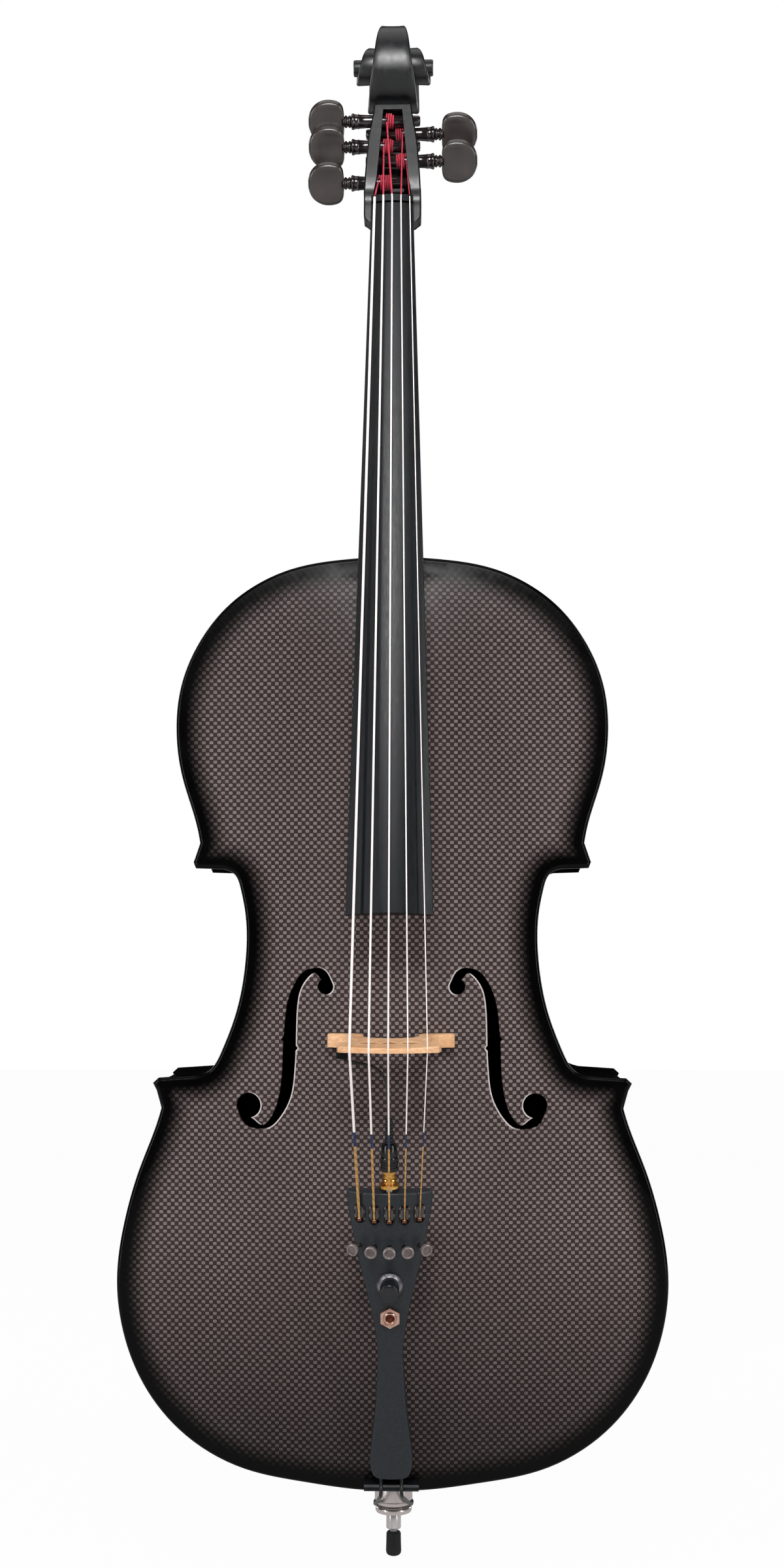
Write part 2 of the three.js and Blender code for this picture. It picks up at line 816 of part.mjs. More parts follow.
function neckRing(z, grow) {
  const share = Math.max(0, (z - bodyTop) / neckLength);
  const half = boardHalf(neck.nutHeight - z) - neck.side + grow;
  const front = gluePlane(z) - grow;
  const slim = THREE.MathUtils.lerp(neck.depthAtHeel, neck.depthAtNut, share);
  const heel = interpolate(heelCurveShares, share);
  const depth = THREE.MathUtils.lerp(slim, heelDepth, heel) + 2 * grow;
  const ring = [];
  for (let i = 0; i <= neckBackSteps; i += 1) {
    const angle = (Math.PI * i) / neckBackSteps;
    const x = Math.sign(Math.cos(angle)) * Math.abs(Math.cos(angle)) ** neckBackFullness;
    const y = Math.sin(angle) ** neckBackFullness;
    const taper = 1 - (1 - heelBackShare) * heel * y;
    ring.push(new THREE.Vector3(half * x * taper, front + depth * y, z));
  }
  return ring;
}

function neckFoot(grow) {
  const low = bodyTop - neck.mortise - grow;
  return loft([low, bodyTop, bodyTop + overrun].map((z) => neckRing(z, grow)));
}

function neckShaft() {
  const heights = heelCurveShares.map(([share]) => bodyTop + share * neckLength);
  const upper = [0.5, 0.75, 0.97].map((share) => bodyTop + share * neckLength);
  const stations = [bodyTop - neck.mortise, ...heights, ...upper];
  return loft(stations.map((z) => neckRing(z, 0)));
}

// An eight-cornered ring across the pegbox
function boxRing(half, front, back, height, chamfer) {
  return [
    [-half, front], [half, front], [half, back - 2 * chamfer], [half - chamfer, back - chamfer / 2],
    [half - 2 * chamfer, back], [-half + 2 * chamfer, back], [-half + chamfer, back - chamfer / 2],
    [-half, back - 2 * chamfer],
  ].map(([x, y]) => new THREE.Vector3(x, y, height));
}

function pegboxLoft(shares) {
  const chamfer = pegbox.depthAtNut / 7;
  return loft(shares.map(([height, half, front, back]) => boxRing(
    half * pegbox.halfWidthAtChin,
    front * pegbox.depthAtNut,
    back * pegbox.depthAtNut,
    height * pegbox.top,
    chamfer,
  )));
}

function pegboxCavity() {
  const ring = (half, floor, height, slope) => [
    [-half, pegbox.front - overrun], [half, pegbox.front - overrun], [half, 0.8 * floor],
    [0.7 * half, floor], [-0.7 * half, floor], [-half, 0.8 * floor],
  ].map(([x, y]) => new THREE.Vector3(x, y, height + slope * (y - pegbox.front)));
  return loft([
    ring(pegbox.mouthHalf, pegbox.floorLow, pegbox.cavityLow, 0),
    ring(pegbox.cavityHalfLow, pegbox.floorLow, pegbox.mouthHigh, 0),
    ring(pegbox.cavityHalfHigh, pegbox.floorHigh, pegbox.cavityHigh, pegbox.topSlope),
  ]);
}

function voluteRing(quarter) {
  const angle = (quarter - 1) * (Math.PI / 2);
  const outer = lerpTable(voluteRadii, quarter);
  const half = lerpTable(voluteHalfWidths, quarter);
  const turnIn = quarter + 4;
  const last = voluteRadii.length - 1;
  const inner = turnIn < last ? lerpTable(voluteRadii, turnIn) * voluteInnerShare : volute.eyeRadius / 3;
  const chamfer = volute.chamfer;
  return [
    [inner, -half], [outer - chamfer, -half], [outer, -half + chamfer],
    [outer, half - chamfer], [outer - chamfer, half], [inner, half],
  ].map(([radius, x]) => new THREE.Vector3(
    x,
    volute.back - radius * Math.sin(angle),
    volute.height + radius * Math.cos(angle),
  ));
}

function scroll() {
  const quarters = voluteRadii.length - 1;
  const pieces = [];
  for (let start = 0; start < quarters; start += 2) {
    const end = Math.min(start + 2, quarters);
    const rings = [];
    for (let i = 0; i <= (end - start) * voluteStepsPerQuarter; i += 1) {
      rings.push(voluteRing(start + i / voluteStepsPerQuarter));
    }
    pieces.push(loft(rings));
  }
  const eye = rod(volute.eyeRadius, -volute.eyeHalf, volute.eyeHalf, 14).rotateY(Math.PI / 2);
  return [...pieces, eye.translate(0, volute.back, volute.height)];
}

function pegHole(peg) {
  const reach = pegbox.halfWidthAtChin + overrun;
  const low = pegRadius(-reach) + pegs.play;
  const high = pegRadius(reach) + pegs.play;
  const bore = turned([[0, -reach], [low, -reach], [high, reach], [0, reach]], pegs.sides);
  return bore.rotateY(peg.side * (Math.PI / 2)).translate(0, peg.depth, peg.height);
}

function neckScroll() {
  const head = [pegboxLoft(pegboxShares), pegboxLoft(throatShares), ...scroll()].map(solid).reduce((whole, part) => whole.add(part));
  const cutters = [pegboxCavity(), ...pegList.map(pegHole)].map(solid);
  const carved = surface(cutters.reduce((whole, part) => whole.subtract(part), head));
  carved.applyMatrix4(neckFrame.matrix);
  return joined([neckShaft(), carved]);
}

// Fingerboard and nut, in the neck frame

function boardTop(x, half) {
  const drop = board.radius - Math.sqrt(board.radius ** 2 - half ** 2);
  const crown = board.edge + drop - (board.radius - Math.sqrt(board.radius ** 2 - x ** 2));
  const facet = -half + board.flatWidthShare * 2 * half;
  if (x > facet) {
    return crown;
  }
  const share = (x + half) / (facet + half);
  const facetCrown = board.edge + drop - (board.radius - Math.sqrt(board.radius ** 2 - facet ** 2));
  return THREE.MathUtils.lerp(board.edge, facetCrown, share);
}

function fingerboard() {
  const sheets = [[], []];
  for (let s = 0; s <= boardStations; s += 1) {
    const distance = THREE.MathUtils.lerp(seat, board.length, s / boardStations);
    const half = boardHalf(distance);
    const free = distance > neckLength;
    const across = Array.from({ length: boardArcSteps + 1 }, (_, i) => (2 * i) / boardArcSteps - 1);
    sheets[0].push(across.map((share) => (
      new THREE.Vector3(share * half, -boardTop(share * half, half), -distance)
    )));
    sheets[1].push(across.map((share) => (
      new THREE.Vector3(share * half, free ? -board.hollow * (1 - share ** 2) - seat : -seat, -distance)
    )));
  }
  return slab(sheets[0], sheets[1]);
}

function stringGrooves(inverse) {
  return strings.radii.map((radius, i) => {
    const groove = tube(stringRoute(i).slice(0, 4), radius + seat, strings.sides);
    return inverse ? groove.applyMatrix4(inverse) : groove;
  });
}

function nutPiece() {
  const half = boardHalf(0);
  const section = new THREE.Shape();
  section.moveTo(-half, -seat);
  section.lineTo(half, -seat);
  for (let i = 0; i <= boardArcSteps; i += 1) {
    const x = half - (2 * half * i) / boardArcSteps;
    const drop = board.radius - Math.sqrt(board.radius ** 2 - half ** 2);
    const sink = board.radius - Math.sqrt(board.radius ** 2 - x ** 2);
    section.lineTo(x, -(board.edge + drop - sink + nut.aboveBoard));
  }
  const block = new THREE.ExtrudeGeometry(section, { depth: nut.length, bevelEnabled: false });
  const inverse = neckFrame.matrix.clone().invert();
  return cut(block, stringGrooves(inverse));
}

// Pegs

function pegRadius(x) {
  const share = (x + pegbox.halfWidthAtChin) / (2 * pegbox.halfWidthAtChin);
  return THREE.MathUtils.lerp(pegs.radiusAtTip, pegs.radiusAtHead, THREE.MathUtils.clamp(share, 0, 1));
}

// Turned round +Z here, with the head outwards
function pegBody() {
  const tip = -pegbox.halfWidthAtChin + pegs.tipOut;
  const end = pegs.barrelEnd;
  const bead = (pegs.headStart - end) / 4;
  const shaft = turned([
    [0, tip],
    [pegRadius(tip), tip],
    [pegRadius(-tip), -tip],
    [pegs.barrelRadius, end - 2 * pegs.collar],
    [pegs.collarRadius, end - pegs.collar],
    [pegs.collarRadius, end],
    [pegs.neckRadius, end + bead],
    [pegs.bead, end + 2 * bead],
    [pegs.neckRadius, end + 3 * bead],
    [pegs.bead, pegs.headStart + bead],
    [0, pegs.headStart + 2 * bead],
  ], pegs.sides);
  return joined([shaft, pegHead()]);
}

// The flat head, dished on both faces, from the collar side outwards
function pegHead() {
  const rings = headShares.map(([along, height, thickness, dish]) => {
    const z = pegs.headStart + along * pegs.headWidth;
    const half = (height * pegs.headHeight) / 2;
    const front = headAcross.map(([share, full, sink]) => new THREE.Vector3(
      share * half,
      full * ((thickness * pegs.headThickness) / 2 - sink * dish * pegs.dish),
      z,
    ));
    const back = front.slice(1, -1).map((point) => new THREE.Vector3(point.x, -point.y, z)).reverse();
    return [...front, ...back];
  });
  return loft(rings);
}

function pegMesh(peg, i) {
  const geometry = pegBody();
  geometry.rotateY(peg.side * (Math.PI / 2));
  geometry.rotateX(THREE.MathUtils.degToRad(pegs.tilt + neck.tilt));
  const mesh = piece(`peg_${i + 1}`, geometry, materials.peg);
  mesh.position.set(0, peg.depth, peg.height);
  return mesh;
}

// Strings

function neckPoint(x, y, z) {
  return new THREE.Vector3(x, y, z).applyMatrix4(neckFrame.matrix);
}

function tailPoint(x, y, z) {
  return new THREE.Vector3(x, y, z).applyMatrix4(tailFrame.matrix);
}

// The tailpiece reaches up to a set distance under the bridge
const tailLength = (bridge.height - tail.belowBridge - tail.height) / Math.cos(THREE.MathUtils.degToRad(tail.tilt));

// Height in the tailpiece frame of a place counted down from its top
function fromTop(drop) {
  return tailLength - drop;
}

const tailFrame = new THREE.Group();
tailFrame.position.set(0, tail.front, tail.height);
tailFrame.rotation.x = THREE.MathUtils.degToRad(tail.tilt);
tailFrame.updateMatrix();

function nutPoint(i) {
  const x = (i - 2) * strings.nutSpacing;
  const half = boardHalf(0);
  const drop = board.radius - Math.sqrt(board.radius ** 2 - half ** 2);
  const sink = board.radius - Math.sqrt(board.radius ** 2 - x ** 2);
  return new THREE.Vector3(x, -(board.edge + drop - sink + nut.aboveBoard), nut.length / 2);
}

function pegOfString(i) {
  return pegList.find((peg) => peg.string === i);
}

function windRadius(peg, x) {
  return pegRadius(peg.side * x) + seat + winding.radius;
}

// Where the string leaves its winding: the tangent point from the nut, in the neck frame
function tangentPoint(peg) {
  const from = nutPoint(peg.string);
  const radius = windRadius(peg, peg.start);
  const y = from.y - peg.depth;
  const z = from.z - peg.height;
  const away = Math.hypot(y, z);
  const angle = Math.atan2(y, z) + Math.acos(radius / away);
  return {
    angle,
    point: new THREE.Vector3(peg.start, peg.depth + radius * Math.sin(angle), peg.height + radius * Math.cos(angle)),
  };
}

function windingPoints(peg) {
  const { angle, point } = tangentPoint(peg);
  const pitch = 2 * winding.radius + winding.gap;
  const steps = peg.turns * winding.stepsPerTurn;
  const helix = [];
  for (let i = 0; i <= steps; i += 1) {
    const turns = i / winding.stepsPerTurn;
    const x = peg.start + peg.step * pitch * turns;
    const around = angle + 2 * Math.PI * turns;
    const radius = windRadius(peg, x);
    helix.push(new THREE.Vector3(x, peg.depth + radius * Math.sin(around), peg.height + radius * Math.cos(around)));
  }
  const leave = nutPoint(peg.string).sub(point).normalize();
  const first = helix[0].clone().addScaledVector(leave, 2 * winding.radius);
  const last = helix[helix.length - 1];
  const tangent = last.clone().sub(helix[helix.length - 2]).normalize();
  return [first, ...helix, last.clone().addScaledVector(tangent, 2 * winding.radius)];
}

// Least gap between turns that are at least half a turn apart along the tube
function leastGap(points) {
  const apart = winding.stepsPerTurn / 2;
  let least = Infinity;
  const closest = new THREE.Vector3();
  for (let i = 0; i + 1 < points.length; i += 1) {
    for (let j = i + apart; j + 1 < points.length; j += 1) {
      const line = new THREE.Line3(points[j], points[j + 1]);
      for (let k = 0; k <= 4; k += 1) {
        const from = points[i].clone().lerp(points[i + 1], k / 4);
        line.closestPointToPoint(from, true, closest);
        least = Math.min(least, closest.distanceTo(from));
      }
    }
  }
  return least - 2 * winding.radius;
}

function windingMesh(peg, i) {
  const points = windingPoints(peg);
  console.log(`winding_${i + 1} least gap ${leastGap(points).toFixed(3)} mm`);
  const centre = new THREE.Vector3(0, peg.depth, peg.height);
  const local = points.map((point) => point.sub(centre));
  const mesh = piece(`winding_${i + 1}`, tube(local, winding.radius, winding.sides), materials.silk);
  mesh.position.copy(centre);
  return mesh;
}

// Start of the free string: past the reach of the turning winding
function stringStart(peg) {
  const { point } = tangentPoint(peg);
  const radius = windRadius(peg, peg.start);
  const reach = radius + winding.radius + strings.radii[peg.string] + 2 * seat;
  const along = Math.sqrt(reach ** 2 - radius ** 2);
  const leave = nutPoint(peg.string).sub(point).normalize();
  return point.addScaledVector(leave, along);
}

const crownHeight = bridge.height - (bridge.footThickness - bridge.crownThickness) / 2;

// How far the crown stands out, so that the middle string clears the end of the board
function crownOut() {
  const near = nutPoint(2).applyMatrix4(neckFrame.matrix);
  const end = neckPoint(0, -boardTop(0, boardHalf(board.length)) - strings.lift, -board.length);
  const slope = (near.y - end.y) / (near.z - end.z);
  return -(near.y + slope * (crownHeight - near.z));
}

const crownTop = crownOut();

function crownPoint(i) {
  const x = (i - 2) * strings.bridgeSpacing;
  const sink = bridge.crownRadius - Math.sqrt(bridge.crownRadius ** 2 - x ** 2);
  return new THREE.Vector3(x, -crownTop + sink, crownHeight);
}

function slotOut(i) {
  return (i - 2) * tuner.spacing;
}

function arcSink(x) {
  return tail.radius - Math.sqrt(tail.radius ** 2 - x ** 2);
}

function ballPoint(i) {
  const out = slotOut(i);
  return tailPoint(out, arcSink(out) - tuner.ballAbove, fromTop(tuner.forkDrop) - strings.ballRadius - seat);
}

function stringRoute(i) {
  const start = stringStart(pegOfString(i)).applyMatrix4(neckFrame.matrix);
  const top = nutPoint(i);
  const near = top.clone().setZ(-nut.length / 8);
  near.y = top.y + (top.z - near.z) * 0.02;
  const afterNut = neckPoint(near.x, near.y, near.z);
  const ball = ballPoint(i);
  return [start, top.clone().applyMatrix4(neckFrame.matrix), afterNut, crownPoint(i), ball];
}

function stringPiece(i) {
  const route = stringRoute(i);
  const radius = strings.radii[i];
  const wire = tube(route, radius, strings.sides);
  const ball = rod(strings.ballRadius, -strings.ballLength / 2, strings.ballLength / 2, 10);
  ball.rotateY(Math.PI / 2).translate(route[4].x, route[4].y, route[4].z);
  return joined([wire, ball]);
}

// Bridge

function bridgeShape() {
  const rise = crownTop - bridge.footDepth;
  const halfSpan = bridge.span / 2;
  const halfCrown = bridge.crownWidth / 2;
  const inner = halfSpan - bridge.footWidth;
  const crownEdge = bridge.crownRadius - Math.sqrt(bridge.crownRadius ** 2 - halfCrown ** 2);
  const flank = curveThrough(bridgeFlankShares, 2).map((p) => [p.x * halfCrown, p.y * rise]);
  const right = [
    [inner, -overrun],
    [halfSpan, -overrun],
    [halfSpan, bridge.footHeight],
    ...flank,
    [halfCrown, rise - crownEdge],
  ];
  for (let i = 1; i < 6; i += 1) {
    const x = halfCrown * (1 - i / 6);
    right.push([x, rise - (bridge.crownRadius - Math.sqrt(bridge.crownRadius ** 2 - x ** 2))]);
  }
  const arch = curveThrough(bridgeArchShares, 2).map((p) => [p.x * halfSpan, p.y * rise]);
  const half = [...arch.slice(0, -1).reverse(), ...right];
  const mirrored = half.map(([x, y]) => [-x, y]).reverse();
  const loop = [[0, bridgeArchShares[bridgeArchShares.length - 1][1] * rise], ...half, [0, rise], ...mirrored];
  return new THREE.Shape(loop.map(([x, y]) => new THREE.Vector2(x, -bridge.footDepth - y)));
}

function bridgeHoles() {
  const rise = crownTop - bridge.footDepth;
  const halfCrown = bridge.crownWidth / 2;
  const hole = (x, share, width, height) => {
    const path = rod(1, -bridge.footThickness, bridge.footThickness, 10);
    return path.scale(width / 2, height / 2, 1).translate(x, -bridge.footDepth - share * rise, bridge.height);
  };
  return [
    hole(-kidney.outShare * halfCrown, kidney.riseShare, kidney.width, kidney.height),
    hole(kidney.outShare * halfCrown, kidney.riseShare, kidney.width, kidney.height),
    hole(0, heart.riseShare, heart.width, heart.height),
  ];
}

function bridgePiece() {
  const blank = new THREE.ExtrudeGeometry(bridgeShape(), { depth: bridge.footThickness, bevelEnabled: false });
  const place = blank.getAttribute('position');
  for (let i = 0; i < place.count; i += 1) {
    const share = (-place.getY(i) - bridge.footDepth) / (crownTop - bridge.footDepth);
    const taper = THREE.MathUtils.lerp(1, bridge.crownThickness / bridge.footThickness, Math.max(0, share));
    place.setZ(i, bridge.height - bridge.footThickness / 2 + place.getZ(i) * taper);
  }
  const lifted = plateSheets(seat, body.plate + 2 * overrun);
  return cut(blank, [lifted, ...bridgeHoles(), ...stringGroovesAtBridge()]);
}

function stringGroovesAtBridge() {
  return strings.radii.map((radius, i) => {
    const route = stringRoute(i);
    const share = 0.1;
    const before = route[3].clone().lerp(route[2], share);
    const after = route[3].clone().lerp(route[4], 3 * share);
    return tube([before, route[3], after], radius + seat, strings.sides);
  });
}

// Tailpiece, in its own frame

// Only the part under the flare stretches with the tailpiece
function tailHeight(share) {
  const neckPart = tailLength - tail.flareLength;
  if (share < tailFlareShare) {
    return (neckPart * share) / tailFlareShare;
  }
  return neckPart + (tail.flareLength * (share - tailFlareShare)) / (1 - tailFlareShare);
}

const tailHalves = tailShares.map(([share, half]) => [tailHeight(share), half]);

function tailHalf(z) {
  return interpolate(tailHalves, z) * (tailWidth / 2);
}

function tailRow(z, depth, trim) {
  const half = tailHalf(z) - trim;
  const row = [];
  for (let i = 0; i <= tailArcSteps; i += 1) {
    const x = -half + (2 * half * i) / tailArcSteps;
    const drop = z > fromTop(tail.cornerReach) ? tail.cornerDrop * (x / (tailWidth / 2)) ** 2 : 0;
    const bow = 1 - (tail.backFlatShare * depth) / tail.depth;
    row.push(new THREE.Vector3(x, bow * arcSink(x) + depth, z - drop));
  }
  return row;
}

function tailBlank() {
  const heights = tailHalves.map(([z]) => z);
  const front = heights.map((z) => tailRow(z, 0, 0));
  const back = heights.map((z) => {
    const atTop = z === heights[heights.length - 1];
    const row = tailRow(z, tail.depth, 0);
    return atTop ? row.map((point) => point.setZ(point.z + tail.endSlope)) : row;
  });
  return slab(front, back);
}

function tailHollow() {
  const high = fromTop(tail.endWall + tail.cornerDrop);
  const low = tail.solidLength;
  const inner = tailHalves.map(([z]) => z).filter((z) => z > low && z < high);
  const level = (z, depth) => tailRow(z, depth, tail.wall).map((point) => point.setZ(z));
  const heights = [low, ...inner, high];
  return slab(
    heights.map((z) => level(z, tail.shell)),
    heights.map((z) => level(z, tail.depth + overrun)),
  );
}

// A cutter or piece standing on the arched face at a place, pointing out of the front
function onFace(geometry, out, height) {
  const lean = Math.asin(out / tail.radius);
  geometry.rotateX(Math.PI / 2);
  geometry.rotateZ(lean);
  return geometry.translate(out, arcSink(out), height);
}

function tunerSlot(i) {
  const out = slotOut(i);
  const height = tuner.slotLowDrop - tuner.slotHighDrop;
  const slot = box(tuner.slotWidth, 4 * tail.shell, height, 0, 0, height / 2);
  return slot.translate(out, arcSink(out), fromTop(tuner.slotLowDrop));
}

function faceBore(radius, out, height) {
  return onFace(rod(radius, -2 * tail.shell, 2 * tail.shell, 10), out, height);
}

function tailpiece() {
  const slots = strings.radii.map((_, i) => tunerSlot(i));
  const screws = strings.radii.map((_, i) => (
    faceBore(tuner.screwRadius + running, slotOut(i), fromTop(tuner.screwDrop))
  ));
  const cordBores = [-1, 1].map((side) => (
    rod(tailCord.radius + seat, -overrun, tail.solidLength + overrun, 10)
      .translate(side * tailCord.spread, tail.depth * tailCord.boreShare, 0)
  ));
  const toTail = plugFrame.matrix.clone().premultiply(tailFrame.matrix.clone().invert());
  const socketBore = rod(plug.socketRadius + seat, -plug.socketDepth - overrun, overrun, 10);
  const flangeSeat = rod(plug.flangeRadius + seat, 0, 2 * overrun, 16);
  return cut(tailBlank(), [
    tailHollow(),
    ...slots,
    ...screws,
    faceBore(volume.bushRadius + seat, 0, fromTop(volume.drop)),
    faceBore(jack.bushRadius + seat, 0, fromTop(jack.drop)),
    pinRod(tuner.pinRadius + seat, tailLength),
    ...cordBores,
    socketBore.applyMatrix4(toTail),
    flangeSeat.applyMatrix4(toTail),
  ]);
}

// Along X at the height of the levers' pivot
function pinRod(radius, length) {
  return rod(radius, -length / 2, length / 2, 10).rotateY(Math.PI / 2)
    .translate(0, tuner.pinDepth, fromTop(tuner.pinDrop));
}

function pivotPin() {
  return pinRod(tuner.pinRadius, 2 * tailHalf(fromTop(tuner.pinDrop)) - tail.wall);
}

// Turned round +Z, which points out of the front
function tunerKnob() {
  const low = tuner.standOff;
  const high = low + tuner.knobThickness;
  const edge = tuner.knobEdge;
  return turned([
    [0, low],
    [tuner.knobRadius - edge, low],
    [tuner.knobRadius, low + edge],
    [tuner.knobRadius, high - edge],
    [tuner.knobRadius - edge, high],
    [0, high],
  ], 12);
}

function tunerScrew(i) {
  const out = slotOut(i);
  const lean = Math.asin(out / tail.radius);
  const reach = (tuner.pinDepth - tuner.armThickness / 2 - seat - arcSink(out)) / Math.cos(lean);
  return rod(tuner.screwRadius, tuner.screwRadius * Math.tan(Math.abs(lean)) - reach, tuner.standOff - seat, 10);
}

function tunerLever(i) {
  const out = slotOut(i);
  const low = fromTop(tuner.screwDrop) - tuner.armPast;
  const fork = fromTop(tuner.forkDrop) + tuner.forkThickness;
  const armHeight = fork - low;
  const arm = box(
    tuner.armWidth,
    tuner.armThickness,
    fromTop(tuner.pinDrop) - low,
    out * tuner.armInwardShare,
    tuner.pinDepth,
    (low + fromTop(tuner.pinDrop)) / 2,
  );
  const hub = pinRod(tuner.pinRadius + tuner.armThickness / 2, tuner.leverWidth).translate(out, 0, 0);
  const heel = box(
    tuner.leverWidth,
    tuner.armThickness,
    fork - fromTop(tuner.pinDrop),
    out,
    tuner.pinDepth,
    (fork + fromTop(tuner.pinDrop)) / 2,
  );
  const top = arcSink(out) - tuner.forkAbove;
  const prong = box(
    tuner.leverWidth,
    tuner.pinDepth - top,
    tuner.forkThickness,
    out,
    (tuner.pinDepth + top) / 2,
    fromTop(tuner.forkDrop) + tuner.forkThickness / 2,
  );
  const bore = pinRod(tuner.pinRadius + seat, armHeight).translate(out, 0, 0);
  const width = 2 * (strings.radii[i] + tuner.notchPlay);
  const floor = arcSink(out) - tuner.ballAbove + strings.radii[i] + seat;
  const notch = box(width, floor - top + overrun, armHeight, out, (floor + top - overrun) / 2, fromTop(tuner.forkDrop));
  return cut(joined([arm, hub, heel, prong]), [bore, notch]);
}

// A part turned round +Z, as a mesh whose own +Z points out of the face
function standing(name, geometry, material, out, height) {
  const mesh = piece(name, geometry, material);
  mesh.position.set(out, arcSink(out), height);
  mesh.rotation.set(Math.PI / 2, 0, Math.asin(out / tail.radius), 'ZYX');
  return mesh;
}

function volumeKnob() {
  const low = volume.lift;
  const bore = volume.shaftRadius + running;
  return turned([
    [bore, low],
    [volume.skirtRadius, low],
    [volume.skirtRadius, volume.skirtHeight],
    [volume.capRadius, volume.skirtHeight + volume.capEdge],
    [volume.capRadius, volume.knobTop - volume.capEdge],
    [volume.capRadius - volume.capEdge, volume.knobTop],
    [0, volume.knobTop],
    [0, volume.shaftTop + seat],
    [bore, volume.shaftTop + seat],
    [bore, low],
  ], 20);
}

function volumePot() {
  const top = -tail.shell - arcSink(volume.potRadius) - seat;
  return turned([
    [0, top - volume.potDepth],
    [volume.potRadius, top - volume.potDepth],
    [volume.potRadius, top],
    [volume.bushRadius, top],
    [volume.bushRadius, volume.lift - seat],
    [volume.shaftRadius, volume.lift - seat],
    [volume.shaftRadius, volume.shaftTop],
    [0, volume.shaftTop],
  ], 16);
}

function outputJack() {
  const top = -tail.shell - arcSink(jack.bodyRadius) - seat;
  const floor = jack.bushHeight - jack.boreDepth;
  return turned([
    [0, top - jack.bodyDepth],
    [jack.bodyRadius, top - jack.bodyDepth],
    [jack.bodyRadius, top],
    [jack.bushRadius, top],
    [jack.bushRadius, jack.bushHeight],
    [jack.boreRadius, jack.bushHeight],
    [jack.boreRadius, floor],
    [0, floor],
  ], 20);
}

function jackNut() {
  const hexagon = polygon(jack.nutAcross / 2 / Math.cos(Math.PI / 6), 6);
  hexagon.holes.push(new THREE.Path().absarc(0, 0, jack.bushRadius + seat, 0, 2 * Math.PI));
  const nutBody = new THREE.ExtrudeGeometry(hexagon, {
    depth: jack.nutHeight,
    bevelEnabled: false,
    curveSegments: 10,
  });
  return nutBody.translate(0, 0, seat);
}

// Pickup, its lead and its plug

const plugFrame = new THREE.Group();
plugFrame.position.copy(tailPoint(0, tail.depth * plug.depthShare, tailLength + plug.seatRise));
plugFrame.rotation.x = THREE.MathUtils.degToRad(plug.tilt);
plugFrame.updateMatrix();

function pickupPiece() {
  const middle = bridge.height - pickup.belowBridge - pickup.height / 2;
  return box(pickup.width, pickup.depth, pickup.height, pickup.out, pickup.belowCrown - crownTop, middle);
}

function pickupSocket() {
  const bore = plug.spigotRadius + seat;
  return turned([
    [0, -plug.socketDepth],
    [plug.socketRadius, -plug.socketDepth],
    [plug.socketRadius, -seat],
    [bore, -seat],
    [bore, -plug.spigotLength - seat],
    [0, -plug.spigotLength - seat],
  ], 16);
}

function pickupPlug() {
  const profile = [
    [0, -plug.spigotLength],
    [plug.spigotRadius, -plug.spigotLength],
    [plug.spigotRadius, seat],
    [plug.flangeRadius, seat],
    [plug.flangeRadius, plug.flangeHeight],
  ];
  const ringed = (radius, dip, low, high, count) => {
    const step = (high - low) / (2 * count);
    for (let i = 0; i < count; i += 1) {
      profile.push([radius, low + 2 * i * step], [radius, low + (2 * i + 1) * step]);
      profile.push([radius - dip, low + (2 * i + 1) * step], [radius - dip, low + (2 * i + 2) * step]);
    }
  };
  ringed(plug.bodyRadius, plug.groove, plug.flangeHeight, plug.bodyTop, plug.grooves);
  ringed(plug.barrelRadius, plug.rib, plug.bodyTop, plug.barrelTop, plug.ribs);
  const bore = lead.radius + seat;
  const depth = plug.reliefTop - plug.barrelTop;
  profile.push(
    [plug.reliefRadius, plug.barrelTop],
    [plug.reliefRadius - plug.rib, plug.reliefTop],
    [bore, plug.reliefTop],
    [bore, plug.reliefTop - depth / 2],
    [0, plug.reliefTop - depth / 2],
  );
  return turned(profile, 12);
}

function pickupLead() {
  const end = new THREE.Vector3(0, 0, plug.reliefTop).applyMatrix4(plugFrame.matrix);
  const along = new THREE.Vector3(0, 0, 1).transformDirection(plugFrame.matrix);
  const last = end.clone().addScaledVector(along, lead.radius);
  const first = new THREE.Vector3(
    pickup.out + lead.startRight,
    pickup.belowCrown - crownTop + lead.startBack,
    bridge.height - pickup.belowBridge - pickup.height - lead.startDrop,
  );
  const places = leadShares.map(([across, bow, down]) => new THREE.Vector3(
    THREE.MathUtils.lerp(first.x, last.x, across),
    THREE.MathUtils.lerp(first.y, last.y, down) + bow * (last.x - first.x),
    THREE.MathUtils.lerp(first.z, last.z, down),
  ));
  places.push(last);
  places.push(end.clone().addScaledVector(along, (plug.barrelTop - plug.reliefTop) / 3));
  const spline = new THREE.CatmullRomCurve3(places);
  const points = [];
  const count = (places.length - 1) * lead.steps;
  for (let i = 0; i <= count; i += 1) {
    points.push(spline.getPoint(i / count));
  }
  return tube(points, lead.radius, lead.sides);
}

// Saddle and tail cord

function saddlePiece() {
  const back = edgeFront - seat;
  const nose = back - saddle.depth;
  const height = saddle.high - saddle.low;
  const section = new THREE.Shape();
  section.moveTo(back, saddle.low);
  section.lineTo(back, saddle.high);
  section.lineTo(back - saddle.depth * saddle.noseShare, saddle.high);
  section.lineTo(nose + height / 8, saddle.high - height / 4);
  section.lineTo(nose, saddle.high - height / 2);
  section.lineTo(nose, saddle.low + height / 5);
  section.lineTo(nose + height / 5, saddle.low);
  const blank = new THREE.ExtrudeGeometry(section, { depth: saddle.width, bevelEnabled: false });
  blank.translate(0, 0, -saddle.width / 2);
  const turn = new THREE.Matrix4().makeBasis(
    new THREE.Vector3(0, 1, 0),
    new THREE.Vector3(0, 0, 1),
    new THREE.Vector3(1, 0, 0),
  );
  return blank.applyMatrix4(turn);
}

